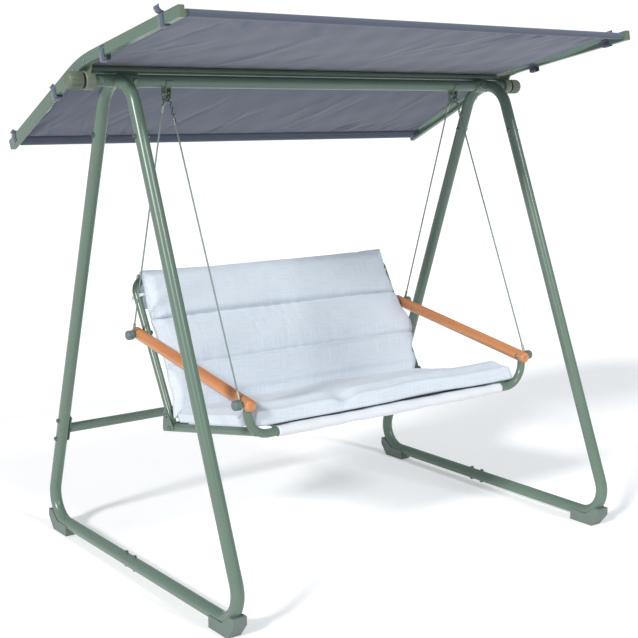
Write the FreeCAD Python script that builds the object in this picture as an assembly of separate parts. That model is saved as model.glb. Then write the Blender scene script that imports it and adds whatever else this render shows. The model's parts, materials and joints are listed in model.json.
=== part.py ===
"""Canopy swing bench: a tubular stand, a hanging two-seat bench and a tilting fabric canopy.

Millimetres, +Z up, +X across the bench, -Y towards the person who stands in front of it.
The origin is on the ground, under the middle of the stand. "left" is -X, "right" is +X.
Every right-hand piece is drawn once and mirrored in the plane X = 0.
"""
import FreeCAD
import Part

import math
import os

from FreeCAD import Vector

# ---------------------------------------------------------------- driving dimensions
BEAM_HEIGHT = 1613.0          # axis of the cross beam, the canopy hubs and the clamp knobs
PIVOT_Y = 38.0                # the same axis, front to back
BEAM_RADIUS = 20.0
SIDE_PLANE = 803.0            # X of each side frame
FRAME_RADIUS = 21.0           # side frame tube
TUBE_WALL = 1.5
FIT_GAP = 0.1                 # radial gap of a swaged end in its socket

BASE_HEIGHT = 39.0            # centre line of the base bars
FRONT_CORNER_Y = -655.0       # where the front leg's line meets the base bar's line
REAR_CORNER_Y = 648.0
FRONT_SLOPE = 0.3886          # run per unit of height
REAR_SLOPE = 0.3403
BASE_BEND = 95.0
LEG_SEAM_HEIGHT = 1428.0      # the arch starts here
LEG_SPIGOT_END = 1490.0
BASE_SEAM_Y = -76.0
BASE_SPIGOT_END = 105.0
CROSSBAR_HEIGHT = 389.5
CROSSBAR_RADIUS = 17.0

SEAT_TUBE_RADIUS = 14.0
STILE_X = 571.0               # back stiles and side rails
ARMREST_X = 605.0             # armrests and the uprights of the front rail
ARMREST_RADIUS = 20.0
SEAT_ANGLE = 10.57            # the rails rise towards the front
BACK_ANGLE = 28.9             # the stiles lean back from upright
SEAT_CORNER = (134.7, 441.0)  # (Y, Z) where the stile and rail lines cross
BACK_LENGTH = 555.0           # along the stile, to the centre of the top bar
SEAT_DEPTH = 519.5            # along the rail, to the front rail's line
REAR_BAR_OFFSET = 48.0
FRONT_RAIL = (-376.0, 526.0)
FRONT_RAIL_BEND = 76.0
FRONT_BOLT = (-372.0, 631.0)  # knob bolts, on the armrest's axis
REAR_BOLT = (304.0, 748.5)
ARMREST_OVERHANG = 29.0

HANGER_X = 628.0              # plane of the hanger plates, the cables and their eyes
HANGER_DROP = 37.0            # pin axis below the beam axis
HANGER_EYE = 19.0             # eye holes, out from and below the pin
CABLE_RADIUS = 2.75
FRONT_CHAIN_LINKS = 5
LINK_WIRE = 1.6
LINK_BEND = 4.0
LINK_STRAIGHT = 6.0

ARM_INNER_X = 907.0           # canopy arms
ARM_WIDTH = 19.0
ARM_HEIGHT = 33.0
ARM_FRONT = (-547.0, 1784.0)
ARM_VERTEX = (49.0, 1669.0)
ARM_REAR = (598.0, 1405.0)
ARM_BEND = 650.0
HUB_INNER_X = 889.3
HUB_OUTER_X = 919.7
HUB_RADIUS = 29.5
STUD_RADIUS = 6.0
KNOB_INNER_X = 928.3
KNOB_OUTER_X = 978.0
KNOB_RADIUS = 27.5
KNOB_DOME = 17.0                # rounding of its outer face
RIDGE_BAR = (66.0, 1647.0)
RIDGE_RADIUS = 11.9
EDGE_BAR_RADIUS = 10.0
FRONT_BAR = (-532.0, 1781.0)
REAR_BAR = (579.5, 1414.0)
CANOPY_HALF_WIDTH = 900.0
CANOPY_CLOTH = 2.5
STRAP_POSITIONS = (-451.0, -107.0, 230.0, 555.0)   # Y of each arm's fabric loops

SLING_HALF_WIDTH = 495.0
SLING_CLOTH = 2.0
SLING_FRONT_SLEEVE = 4.4       # how far the loose front sleeve stands off its tube
SEAT_PAD_HALF_WIDTH = 552.0
BACK_PAD_HALF_WIDTH = 554.0
SEAT_PAD_LAYER = (19.0, 72.0)   # above the rails' plane
BACK_PAD_LAYER = (16.6, 56.0)   # in front of the stiles' plane
BACK_PAD_TOP = 572.0
SEAT_PAD_FRONT = 531.0

PARTS_FOLDER = "parts"


# ---------------------------------------------------------------- helpers
def at(x, yz):
    """A point from X and a (Y, Z) pair."""
    return Vector(x, yz[0], yz[1])


def rounded_path(points, bend):
    """A wire along the points, each inner corner rounded with the bend radius."""
    edges = []
    start = points[0]
    for before, corner, after in zip(points, points[1:], points[2:]):
        to_before = (before - corner).normalize()
        to_after = (after - corner).normalize()
        half = to_before.getAngle(to_after) / 2
        reach = bend / math.tan(half)
        centre = corner + (to_before + to_after).normalize() * (bend / math.sin(half))
        arc_start = corner + to_before * reach
        arc_end = corner + to_after * reach
        arc_middle = centre + (corner - centre).normalize() * bend
        edges.append(Part.makeLine(start, arc_start))
        edges.append(Part.Arc(arc_start, arc_middle, arc_end).toShape())
        start = arc_end
    edges.append(Part.makeLine(start, points[-1]))
    return Part.Wire(edges)


def bent_rod(points, bend, radius):
    """A round solid bar along a rounded path."""
    path = rounded_path(points, bend)
    profile = Part.Wire(Part.makeCircle(radius, points[0], points[1] - points[0]))
    return path.makePipeShell([profile], True, False)


def bent_tube(points, bend, radius, wall=TUBE_WALL):
    return bent_rod(points, bend, radius).cut(bent_rod(points, bend, radius - wall))


def rod(start, end, radius):
    """A round bar between two points."""
    return Part.makeCylinder(radius, (end - start).Length, start, end - start)


def ring(start, end, radius, bore):
    return rod(start, end, radius).cut(rod(start, end, bore))


def side_plate(outline, x_from, x_to):
    """A flat plate across X, from a closed outline of (Y, Z) points."""
    corners = [at(x_from, point) for point in outline]
    face = Part.Face(Part.makePolygon(corners + corners[:1]))
    return face.extrude(Vector(x_to - x_from, 0, 0))


def rounded_plate(outline, radius, x_from, x_to):
    """A flat plate whose edge lies the radius outside an outline of (Y, Z) points."""
    corners = [at(x_from, point) for point in outline]
    outer = Part.makePolygon(corners + corners[:1]).makeOffset2D(radius)
    return Part.Face(outer).extrude(Vector(x_to - x_from, 0, 0))


def strap_plate(first, second, radius, x_from, x_to):
    """A flat strap with round ends, centred on two (Y, Z) points."""
    ends = [rod(at(x_from, point), at(x_to, point), radius) for point in (first, second)]
    along = Vector(0, second[0] - first[0], second[1] - first[1]).normalize()
    across = Vector(0, -along.z, along.y) * radius
    outline = []
    for point, side in ((first, 1), (second, 1), (second, -1), (first, -1)):
        outline.append((point[0] + side * across.y, point[1] + side * across.z))
    return ends[0].fuse(ends[1]).fuse(side_plate(outline, x_from, x_to)).removeSplitter()


def hex_prism(start, end, across_flats):
    """A hexagonal nut or bolt head between two points."""
    axis = (end - start).normalize()
    side = axis.cross(Vector(0, 1, 0) if abs(axis.y) < 0.9 else Vector(1, 0, 0)).normalize()
    other = axis.cross(side)
    reach = across_flats / math.sqrt(3)
    corners = []
    for step in range(6):
        angle = math.radians(60 * step)
        corners.append(start + side * (reach * math.cos(angle)) + other * (reach * math.sin(angle)))
    return Part.Face(Part.makePolygon(corners + corners[:1])).extrude(end - start)


def bolt(start, end, radius, head=5.0, nut=True):
    """A domed bolt. start is under the head and end is the seat of the nut."""
    along = (end - start).normalize()
    tail = 8.0 if nut else 0.0
    shape = rod(start, end + along * tail, radius)
    dome = rod(start, start - along * head, radius * 2)
    rim = [edge for edge in dome.Edges if on_plane(edge, start - along * head)]
    dome = dome.makeFillet(head * 0.7, rim)
    shape = shape.fuse(dome)
    if nut:
        shape = shape.fuse(hex_prism(end, end + along * 6.0, radius * 3.2))
    return shape.removeSplitter()


def on_plane(edge, point):
    """True for a round edge whose centre is the point."""
    curve = edge.Curve
    return isinstance(curve, Part.Circle) and (curve.Center - point).Length < 1e-3


def round_end(shape, point, radius):
    """The shape with the round edge about the point filleted."""
    return shape.makeFillet(radius, [edge for edge in shape.Edges if on_plane(edge, point)])


def mirrored(shape):
    return shape.mirror(Vector(0, 0, 0), Vector(1, 0, 0))


def both_sides(shapes):
    """The right-hand solids and their mirror images, as one group."""
    shapes = list(shapes)
    return shapes + [mirrored(shape) for shape in shapes]


def line_crossing(first, first_direction, second, second_direction):
    """The (Y, Z) point where two lines cross."""
    det = first_direction[0] * second_direction[1] - first_direction[1] * second_direction[0]
    gap = (second[0] - first[0], second[1] - first[1])
    reach = (gap[0] * second_direction[1] - gap[1] * second_direction[0]) / det
    return (first[0] + reach * first_direction[0], first[1] + reach * first_direction[1])


SEAT_FORWARD = (-math.cos(math.radians(SEAT_ANGLE)), math.sin(math.radians(SEAT_ANGLE)))
SEAT_UP = (math.sin(math.radians(SEAT_ANGLE)), math.cos(math.radians(SEAT_ANGLE)))
BACK_UP = (math.sin(math.radians(BACK_ANGLE)), math.cos(math.radians(BACK_ANGLE)))
BACK_FORWARD = (-math.cos(math.radians(BACK_ANGLE)), math.sin(math.radians(BACK_ANGLE)))


def on_rail(forward, above=0.0):
    """A (Y, Z) point given along the side rail and above its plane."""
    return (SEAT_CORNER[0] + forward * SEAT_FORWARD[0] + above * SEAT_UP[0],
            SEAT_CORNER[1] + forward * SEAT_FORWARD[1] + above * SEAT_UP[1])


def on_stile(up, ahead=0.0):
    """A (Y, Z) point given along the back stile and in front of its plane."""
    return (SEAT_CORNER[0] + up * BACK_UP[0] + ahead * BACK_FORWARD[0],
            SEAT_CORNER[1] + up * BACK_UP[1] + ahead * BACK_FORWARD[1])


def front_leg_y(height):
    return FRONT_CORNER_Y + FRONT_SLOPE * (height - BASE_HEIGHT)


def rear_leg_y(height):
    return REAR_CORNER_Y - REAR_SLOPE * (height - BASE_HEIGHT)


def armrest_height(y):
    slope = (REAR_BOLT[1] - FRONT_BOLT[1]) / (REAR_BOLT[0] - FRONT_BOLT[0])
    return FRONT_BOLT[1] + slope * (y - FRONT_BOLT[0])


def arm_height(y):
    """Centre line of the canopy arm, without its bend."""
    far = ARM_FRONT if y < ARM_VERTEX[0] else ARM_REAR
    slope = (far[1] - ARM_VERTEX[1]) / (far[0] - ARM_VERTEX[0])
    return ARM_VERTEX[1] + slope * (y - ARM_VERTEX[0])


# ---------------------------------------------------------------- stand
BORE_RADIUS = FRAME_RADIUS - TUBE_WALL
SPIGOT_RADIUS = BORE_RADIUS - FIT_GAP
SPIGOT_BORE = SPIGOT_RADIUS - TUBE_WALL
AXIS = (PIVOT_Y, BEAM_HEIGHT)
LEG_BOLT_HEIGHT = LEG_SEAM_HEIGHT + 17.0
BASE_BOLT_YS = (PIVOT_Y - 28.5, PIVOT_Y + 28.5)
BOLT_RADIUS = 4.0


def arch_path():
    """Corner points of the arch, and the bend that puts its crown at the beam's height."""
    apex_rise = (REAR_CORNER_Y - FRONT_CORNER_Y) / (FRONT_SLOPE + REAR_SLOPE)
    apex = (front_leg_y(BASE_HEIGHT + apex_rise), BASE_HEIGHT + apex_rise)
    front_lean = math.atan(FRONT_SLOPE)
    rear_lean = math.atan(REAR_SLOPE)
    half = (front_lean + rear_lean) / 2
    tilt = (front_lean - rear_lean) / 2
    bend = (apex[1] - BEAM_HEIGHT) / (math.cos(tilt) / math.sin(half) - 1)
    ends = ((front_leg_y(LEG_SEAM_HEIGHT), LEG_SEAM_HEIGHT), (rear_leg_y(LEG_SEAM_HEIGHT), LEG_SEAM_HEIGHT))
    return [at(SIDE_PLANE, ends[0]), at(SIDE_PLANE, apex), at(SIDE_PLANE, ends[1])], bend


def leg_bolt_axes():
    """Y and Z of the bolts that hold the legs in the arch."""
    return [(leg(LEG_BOLT_HEIGHT), LEG_BOLT_HEIGHT) for leg in (front_leg_y, rear_leg_y)]


def cross_hole(yz, radius):
    """A drill through a side frame, along X."""
    return rod(at(SIDE_PLANE - 40, yz), at(SIDE_PLANE + 40, yz), radius)


def upper_arch():
    points, bend = arch_path()
    shape = bent_tube(points, bend, FRAME_RADIUS)
    for yz in leg_bolt_axes():
        shape = shape.cut(cross_hole(yz, BOLT_RADIUS))
    return shape.cut(cross_hole(AXIS, STUD_RADIUS))


def crossbar_bolt_axes():
    """Y and Z of the two bolts that hold the crossbar to a rear leg."""
    lean = math.atan(REAR_SLOPE)
    centre = (rear_leg_y(CROSSBAR_HEIGHT), CROSSBAR_HEIGHT)
    reach = 38.0
    return [(centre[0] - side * reach * math.sin(lean), centre[1] + side * reach * math.cos(lean))
            for side in (-1, 1)]


def leg(leg_y, corner_y, base_end_y, base_spigot_end=None):
    """A leg with its half of the base bar, and swaged ends that plug into the next tube."""
    overlap = 15.0
    top = (leg_y(LEG_SEAM_HEIGHT), LEG_SEAM_HEIGHT)
    low_top = (leg_y(LEG_SEAM_HEIGHT - overlap), LEG_SEAM_HEIGHT - overlap)
    spigot_top = (leg_y(LEG_SPIGOT_END), LEG_SPIGOT_END)
    base_end = (base_end_y, BASE_HEIGHT)
    corner = (corner_y, BASE_HEIGHT)
    inner_base_end = base_end
    if base_spigot_end is not None:
        inner_base_end = (base_end_y - overlap, BASE_HEIGHT)
    solid = bent_rod([at(SIDE_PLANE, yz) for yz in (base_end, corner, top)], BASE_BEND, FRAME_RADIUS)
    hollow_points = [at(SIDE_PLANE, yz) for yz in (inner_base_end, corner, low_top)]
    hollow = bent_rod(hollow_points, BASE_BEND, BORE_RADIUS)
    solid = solid.fuse(rod(at(SIDE_PLANE, low_top), at(SIDE_PLANE, spigot_top), SPIGOT_RADIUS))
    hollow = hollow.fuse(rod(at(SIDE_PLANE, low_top), at(SIDE_PLANE, spigot_top), SPIGOT_BORE))
    if base_spigot_end is not None:
        spigot_end = (base_spigot_end, BASE_HEIGHT)
        solid = solid.fuse(rod(at(SIDE_PLANE, inner_base_end), at(SIDE_PLANE, spigot_end), SPIGOT_RADIUS))
        hollow = hollow.fuse(rod(at(SIDE_PLANE, inner_base_end), at(SIDE_PLANE, spigot_end), SPIGOT_BORE))
    shape = solid.cut(hollow)
    for yz in leg_bolt_axes():
        shape = shape.cut(cross_hole(yz, BOLT_RADIUS))
    for y in BASE_BOLT_YS:
        shape = shape.cut(Part.makeCylinder(BOLT_RADIUS, 2 * BASE_HEIGHT, Vector(SIDE_PLANE, y, 0)))
    return shape


def front_leg():
    return leg(front_leg_y, FRONT_CORNER_Y, BASE_SEAM_Y, BASE_SPIGOT_END)


def rear_leg():
    shape = leg(rear_leg_y, REAR_CORNER_Y, BASE_SEAM_Y)
    for yz in crossbar_bolt_axes():
        shape = shape.cut(cross_hole(yz, BOLT_RADIUS))
    return shape


def bend_centre_y(slope, corner_y):
    """Y of the centre of a base bend."""
    half = (math.pi / 2 - math.atan(slope)) / 2
    return corner_y - math.copysign(BASE_BEND / math.tan(half), corner_y)


def foot(slope, corner_y):
    """A moulded shoe that cups the outside of a base bend."""
    half_width = 24.0
    out = math.copysign(1.0, corner_y)
    centre = bend_centre_y(slope, corner_y)
    outline = [(-30, 0), (73, 0), (107, 44), (107, 71), (84, 71), (42, BASE_HEIGHT), (-30, BASE_HEIGHT)]
    outline = [(centre + out * y, z) for y, z in outline]
    shape = side_plate(outline, SIDE_PLANE - half_width, SIDE_PLANE + half_width)
    corner = (corner_y, BASE_HEIGHT)
    leg_end = (corner_y - out * slope * 500, BASE_HEIGHT + 500)
    tube = [(corner_y - out * 500, BASE_HEIGHT), corner, leg_end]
    return shape.cut(bent_rod([at(SIDE_PLANE, yz) for yz in tube], BASE_BEND, FRAME_RADIUS))


def rear_crossbar():
    """The low tube between the rear legs, with its two welded end plates."""
    plate = 4.0
    inner = SIDE_PLANE - FRAME_RADIUS - plate
    centre = (rear_leg_y(CROSSBAR_HEIGHT), CROSSBAR_HEIGHT)
    shape = ring(at(-inner, centre), at(inner, centre), CROSSBAR_RADIUS, CROSSBAR_RADIUS - TUBE_WALL)
    low, high = crossbar_bolt_axes()
    end_plate = strap_plate(low, high, 13.0, inner, inner + plate)
    for yz in (low, high):
        end_plate = end_plate.cut(cross_hole(yz, BOLT_RADIUS))
    return shape.fuse(end_plate).fuse(mirrored(end_plate))


def crossbar_bolts():
    inner = SIDE_PLANE - FRAME_RADIUS - 4.0
    outer = SIDE_PLANE + FRAME_RADIUS
    return both_sides(bolt(at(inner, yz), at(outer, yz), BOLT_RADIUS) for yz in crossbar_bolt_axes())


def leg_joint_bolts():
    inner = SIDE_PLANE - FRAME_RADIUS
    outer = SIDE_PLANE + FRAME_RADIUS
    return both_sides(bolt(at(inner, yz), at(outer, yz), BOLT_RADIUS) for yz in leg_bolt_axes())


def base_joint_bolts():
    low = BASE_HEIGHT - FRAME_RADIUS
    high = BASE_HEIGHT + FRAME_RADIUS
    return both_sides(bolt(Vector(SIDE_PLANE, y, low), Vector(SIDE_PLANE, y, high), BOLT_RADIUS)
                      for y in BASE_BOLT_YS)


SADDLE_RADIUS = 23.5
SADDLE_BOLT_X = 752.0
BEAM_END_X = 777.0


def arch_solid():
    points, bend = arch_path()
    return bent_rod(points, bend, FRAME_RADIUS)


def saddle_bolt_drill(radius):
    """A drill through the end of the beam, front to back."""
    front = Vector(SADDLE_BOLT_X, PIVOT_Y - 40, BEAM_HEIGHT)
    rear = Vector(SADDLE_BOLT_X, PIVOT_Y + 40, BEAM_HEIGHT)
    return rod(front, rear, radius)


def main_beam():
    shape = ring(at(-BEAM_END_X, AXIS), at(BEAM_END_X, AXIS), BEAM_RADIUS, BEAM_RADIUS - TUBE_WALL)
    drill = saddle_bolt_drill(BOLT_RADIUS)
    return shape.cut(drill).cut(mirrored(drill)).cut(arch_solid()).cut(mirrored(arch_solid()))


def beam_saddle():
    """The socket that seats the end of the beam on the curve of the arch."""
    shape = ring(at(735.0, AXIS), at(SIDE_PLANE, AXIS), SADDLE_RADIUS, BEAM_RADIUS)
    return largest_solid(shape.cut(arch_solid()).cut(saddle_bolt_drill(BOLT_RADIUS)))


def largest_solid(shape):
    return max(shape.Solids, key=lambda solid: solid.Volume)


def saddle_bolts():
    front = Vector(SADDLE_BOLT_X, PIVOT_Y - SADDLE_RADIUS, BEAM_HEIGHT)
    back = Vector(SADDLE_BOLT_X, PIVOT_Y + SADDLE_RADIUS, BEAM_HEIGHT)
    return both_sides([bolt(front, back, BOLT_RADIUS)])


def pivot_studs():
    """The threaded stud and its plug, which stick out of each end of the beam."""
    plug = rod(at(762.0, AXIS), at(772.0, AXIS), BEAM_RADIUS - TUBE_WALL)
    stud = rod(at(762.0, AXIS), at(966.0, AXIS), STUD_RADIUS)
    return both_sides([plug.fuse(stud).removeSplitter()])


def end_collars():
    """The spacer cup between the arch and the canopy hub."""
    end = HUB_INNER_X - 0.3
    cup = ring(at(SIDE_PLANE, AXIS), at(end, AXIS), BEAM_RADIUS, BEAM_RADIUS - 2.0)
    cap = ring(at(end - 5.0, AXIS), at(end, AXIS), BEAM_RADIUS, STUD_RADIUS)
    return both_sides([largest_solid(cup.fuse(cap).cut(arch_solid()).cut(collar_screw()))])


def collar_screw():
    """The set screw in the front of a collar."""
    outer = Vector(860.0, PIVOT_Y - BEAM_RADIUS, BEAM_HEIGHT)
    return bolt(outer, outer + Vector(0, 8, 0), 2.5, head=2.5, nut=False)


def collar_screws():
    return both_sides([collar_screw()])


PIN_AXIS = (PIVOT_Y, BEAM_HEIGHT - HANGER_DROP)
PIN_RADIUS = 5.0
EAR_GAP = 14.0
EAR = 4.0


def hanger_brackets():
    """The clevis under the beam that holds a hanger pin."""
    half = EAR_GAP / 2 + EAR
    cradle = ring(at(HANGER_X - half, AXIS), at(HANGER_X + half, AXIS), SADDLE_RADIUS, BEAM_RADIUS)
    below = Part.makeBox(2 * half, 60, 60, Vector(HANGER_X - half, PIVOT_Y - 30, BEAM_HEIGHT - 60))
    shape = cradle.common(below)
    ear_outline = [(PIVOT_Y - 14, PIN_AXIS[1]), (PIVOT_Y + 14, PIN_AXIS[1]),
                   (PIVOT_Y + 14, BEAM_HEIGHT), (PIVOT_Y - 14, BEAM_HEIGHT)]
    for side in (-1, 1):
        near = HANGER_X + side * EAR_GAP / 2
        far = near + side * EAR
        ear = side_plate(ear_outline, near, far).fuse(rod(at(near, PIN_AXIS), at(far, PIN_AXIS), 14.0))
        shape = shape.fuse(ear)
    shape = shape.cut(rod(at(HANGER_X - 20, AXIS), at(HANGER_X + 20, AXIS), BEAM_RADIUS))
    shape = shape.cut(rod(at(HANGER_X - 20, PIN_AXIS), at(HANGER_X + 20, PIN_AXIS), PIN_RADIUS))
    return both_sides([shape.removeSplitter()])


def hanger_pins():
    half = EAR_GAP / 2 + EAR
    shape = rod(at(HANGER_X - half, PIN_AXIS), at(HANGER_X + half, PIN_AXIS), PIN_RADIUS)
    for side in (-1, 1):
        near = at(HANGER_X + side * half, PIN_AXIS)
        far = at(HANGER_X + side * (half + 4.0), PIN_AXIS)
        shape = shape.fuse(round_end(rod(near, far, 8.0), far, 2.0))
    return both_sides([shape.removeSplitter()])


# ---------------------------------------------------------------- hanging seat
BUSH_RADIUS = 7.0
PLATE = 4.0
LINK_PITCH = LINK_STRAIGHT + 2 * LINK_BEND - 2 * LINK_WIRE
EYE_FRONT = (PIN_AXIS[0] - HANGER_EYE, PIN_AXIS[1] - HANGER_EYE)
EYE_REAR = (PIN_AXIS[0] + HANGER_EYE, PIN_AXIS[1] - HANGER_EYE)
TERMINAL_SLEEVE = 24.0
SLEEVE_RADIUS = 4.5
SLEEVE_FLOOR = 4.0
UPPER_EYE_BORE = 3.0
EYE_LIFT = 0.9                 # the flat eye sits above the lowest point of the link's bend
UPPER_NECK = 5.5
LOWER_EYE_RADIUS = 9.0
LOWER_NECK = 18.0


def hanger_plate():
    """The three-hole plate that turns on the pin and carries both cables of one side."""
    near, far = HANGER_X - PLATE / 2, HANGER_X + PLATE / 2
    shape = rounded_plate([PIN_AXIS, EYE_FRONT, EYE_REAR], 8.0, near, far)
    shape = shape.fuse(rod(at(near, PIN_AXIS), at(far, PIN_AXIS), 12.0))
    shape = shape.cut(rod(at(near, PIN_AXIS), at(far, PIN_AXIS), BUSH_RADIUS))
    for eye in (EYE_FRONT, EYE_REAR):
        shape = shape.cut(rod(at(near, eye), at(far, eye), 4.5))
    return shape


def hanger_bushings():
    half = EAR_GAP / 2 - 0.5
    start, end = at(HANGER_X - half, PIN_AXIS), at(HANGER_X + half, PIN_AXIS)
    return both_sides([ring(start, end, BUSH_RADIUS, PIN_RADIUS + 0.05)])


def chain_link(top, along, across):
    """One oval link. top is the middle of its upper end, along points down the chain."""
    first = top + along * LINK_BEND
    second = first + along * LINK_STRAIGHT
    side = across * LINK_BEND
    path = Part.Wire([
        Part.Arc(first + side, top, first - side).toShape(),
        Part.makeLine(first - side, second - side),
        Part.Arc(second - side, second + along * LINK_BEND, second + side).toShape(),
        Part.makeLine(second + side, first + side),
    ])
    profile = Part.Wire(Part.makeCircle(LINK_WIRE, first + side, along))
    return path.makePipeShell([profile], True, False)


def cable_ends(eye, knob_bolt):
    """Top and bottom points of one suspension line, and its direction."""
    top, bottom = at(HANGER_X, eye), at(HANGER_X, knob_bolt)
    return top, bottom, (bottom - top).normalize()


def chain(eye, knob_bolt, links):
    """The links from a hole of the hanger plate down to the cable."""
    top, _, along = cable_ends(eye, knob_bolt)
    sideways = Vector(1, 0, 0)
    planes = (sideways, along.cross(sideways))
    shapes = []
    for number in range(links):
        shapes.append(chain_link(top + along * (number * LINK_PITCH), along, planes[number % 2]))
    return shapes


def swaged_eye(centre, along, ring_radius, bore, half_width, neck_end):
    """A flat eye, its neck and the sleeve that is pressed on the cable."""
    half = Vector(half_width, 0, 0)
    sleeve_end = centre + along * (neck_end + TERMINAL_SLEEVE)
    sleeve_start = centre + along * neck_end
    eye = rod(centre - half, centre + half, ring_radius)
    eye = eye.fuse(rod(centre, sleeve_start + along, half_width))
    eye = eye.fuse(rod(sleeve_start, sleeve_end, SLEEVE_RADIUS))
    eye = eye.cut(rod(centre - half, centre + half, bore))
    return eye.cut(rod(sleeve_start + along * SLEEVE_FLOOR, sleeve_end, CABLE_RADIUS))


def upper_eye_reach(links):
    """How far below the plate's hole the centre of the cable's upper eye hangs."""
    return links * LINK_PITCH + LINK_WIRE + UPPER_EYE_BORE - EYE_LIFT


def terminals(eye, knob_bolt, links):
    """The swaged eyes at the top and the bottom of one cable."""
    top, bottom, along = cable_ends(eye, knob_bolt)
    upper = swaged_eye(top + along * upper_eye_reach(links), along, 6.5, UPPER_EYE_BORE, 1.8, UPPER_NECK)
    lower = swaged_eye(bottom, along * -1, LOWER_EYE_RADIUS, BOLT_RADIUS, 2.5, LOWER_NECK)
    return [upper, lower]


def cable(eye, knob_bolt, links):
    """The coated wire rope between its two swaged eyes."""
    top, bottom, along = cable_ends(eye, knob_bolt)
    start = top + along * (upper_eye_reach(links) + UPPER_NECK + SLEEVE_FLOOR)
    return rod(start, bottom - along * (LOWER_NECK + SLEEVE_FLOOR), CABLE_RADIUS)


def armrest_end(bolt_yz, direction):
    """The middle of an armrest's end, past a knob bolt."""
    along = Vector(0, REAR_BOLT[0] - FRONT_BOLT[0], REAR_BOLT[1] - FRONT_BOLT[1]).normalize()
    return at(ARMREST_X, bolt_yz) + along * (direction * ARMREST_OVERHANG)


ARMREST_SCREW = (210.0, armrest_height(210.0))
TAB_END = (REAR_BOLT[0] - 10.0, armrest_height(REAR_BOLT[0] - 10.0))
UPRIGHT_SPIGOT = 9.0
BRACKET_PLATE = 4.0


def armrest_solid():
    return rod(armrest_end(FRONT_BOLT, -1), armrest_end(REAR_BOLT, 1), ARMREST_RADIUS)


def armrest():
    """A round wooden rail, bored for the upright, the two knob bolts and a bracket screw."""
    shape = armrest_solid()
    for point in (armrest_end(FRONT_BOLT, -1), armrest_end(REAR_BOLT, 1)):
        shape = round_end(shape, point, 9.0)
    for yz in (FRONT_BOLT, REAR_BOLT):
        shape = shape.cut(rod(at(ARMREST_X - 60, yz), at(ARMREST_X + 60, yz), BOLT_RADIUS))
    shape = shape.cut(upright_spigot(gap=0.1))
    return shape.cut(armrest_screw())


def upright_spigot(x=ARMREST_X, gap=0.0):
    """The reduced end of the front rail's upright, inside the armrest."""
    low = Vector(x, FRONT_RAIL[0], FRONT_RAIL[1] + FRONT_RAIL_BEND)
    return rod(low, Vector(x, FRONT_RAIL[0], FRONT_BOLT[1] + 10 + gap), UPRIGHT_SPIGOT + gap)


def armrest_screw():
    face = ARMREST_X - ARMREST_RADIUS
    return bolt(at(face, ARMREST_SCREW), at(face + 22, ARMREST_SCREW), 2.25, head=2.5, nut=False)


def armrest_screws():
    return both_sides([armrest_screw()])


def cable_bolts():
    """The bolts through the armrests that carry the cable eyes and end in the knobs."""
    outer = HANGER_X + 18.0
    front = bolt(at(ARMREST_X - ARMREST_RADIUS, FRONT_BOLT), at(outer, FRONT_BOLT), BOLT_RADIUS, nut=False)
    rear = bolt(at(STILE_X - SEAT_TUBE_RADIUS, REAR_BOLT), at(outer, REAR_BOLT), BOLT_RADIUS, nut=False)
    return both_sides([front, rear])


def armrest_knobs():
    """The round cap nuts outside the armrests."""
    near, far = HANGER_X + 2.7, HANGER_X + 27.0
    knobs = []
    for yz in (FRONT_BOLT, REAR_BOLT):
        shape = round_end(rod(at(near, yz), at(far, yz), 16.5), at(far, yz), 7.0)
        knobs.append(shape.cut(rod(at(near, yz), at(HANGER_X + 18.0, yz), BOLT_RADIUS)))
    return both_sides(knobs)


def front_rail_points(top=FRONT_BOLT[1] - 10.0):
    y, low = FRONT_RAIL
    return [Vector(-ARMREST_X, y, top), Vector(-ARMREST_X, y, low),
            Vector(ARMREST_X, y, low), Vector(ARMREST_X, y, top)]


def front_u_rail():
    """The front tube of the seat, bent up at both ends to carry the armrests."""
    shape = bent_rod(front_rail_points(), FRONT_RAIL_BEND, SEAT_TUBE_RADIUS)
    shape = largest_solid(shape.cut(armrest_solid()).cut(mirrored(armrest_solid())))
    hollow_top = FRONT_RAIL[1] + FRONT_RAIL_BEND + 1.0
    hollow = bent_rod(front_rail_points(hollow_top), FRONT_RAIL_BEND, SEAT_TUBE_RADIUS - TUBE_WALL)
    for x in (-ARMREST_X, ARMREST_X):
        bolt_hole = rod(at(x - 30, FRONT_BOLT), at(x + 30, FRONT_BOLT), BOLT_RADIUS)
        shape = shape.fuse(upright_spigot(x)).cut(bolt_hole)
    return shape.cut(hollow)


def seat_frame_points():
    return [at(-STILE_X, on_rail(SEAT_DEPTH)), at(-STILE_X, on_rail(-REAR_BAR_OFFSET)),
            at(STILE_X, on_rail(-REAR_BAR_OFFSET)), at(STILE_X, on_rail(SEAT_DEPTH))]


SEAT_FRAME_BEND = 35.0
BACK_FRAME_BEND = 55.0
BRACKET_BOLTS = (on_rail(0.0), on_stile(46.0))


def seat_frame():
    """Side rails and rear bar, one tube, fitted against the front rail."""
    shape = bent_tube(seat_frame_points(), SEAT_FRAME_BEND, SEAT_TUBE_RADIUS)
    shape = shape.cut(bent_rod(front_rail_points(), FRONT_RAIL_BEND, SEAT_TUBE_RADIUS))
    shape = largest_solid(shape)
    for side in (-1, 1):
        shape = shape.cut(stile_drill(side, BRACKET_BOLTS[0]))
    return shape


def stile_drill(side, yz):
    """A drill for a bolt across one side of the seat and the back."""
    return rod(at(side * (STILE_X - 30), yz), at(side * (STILE_X + 30), yz), BOLT_RADIUS)


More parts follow.
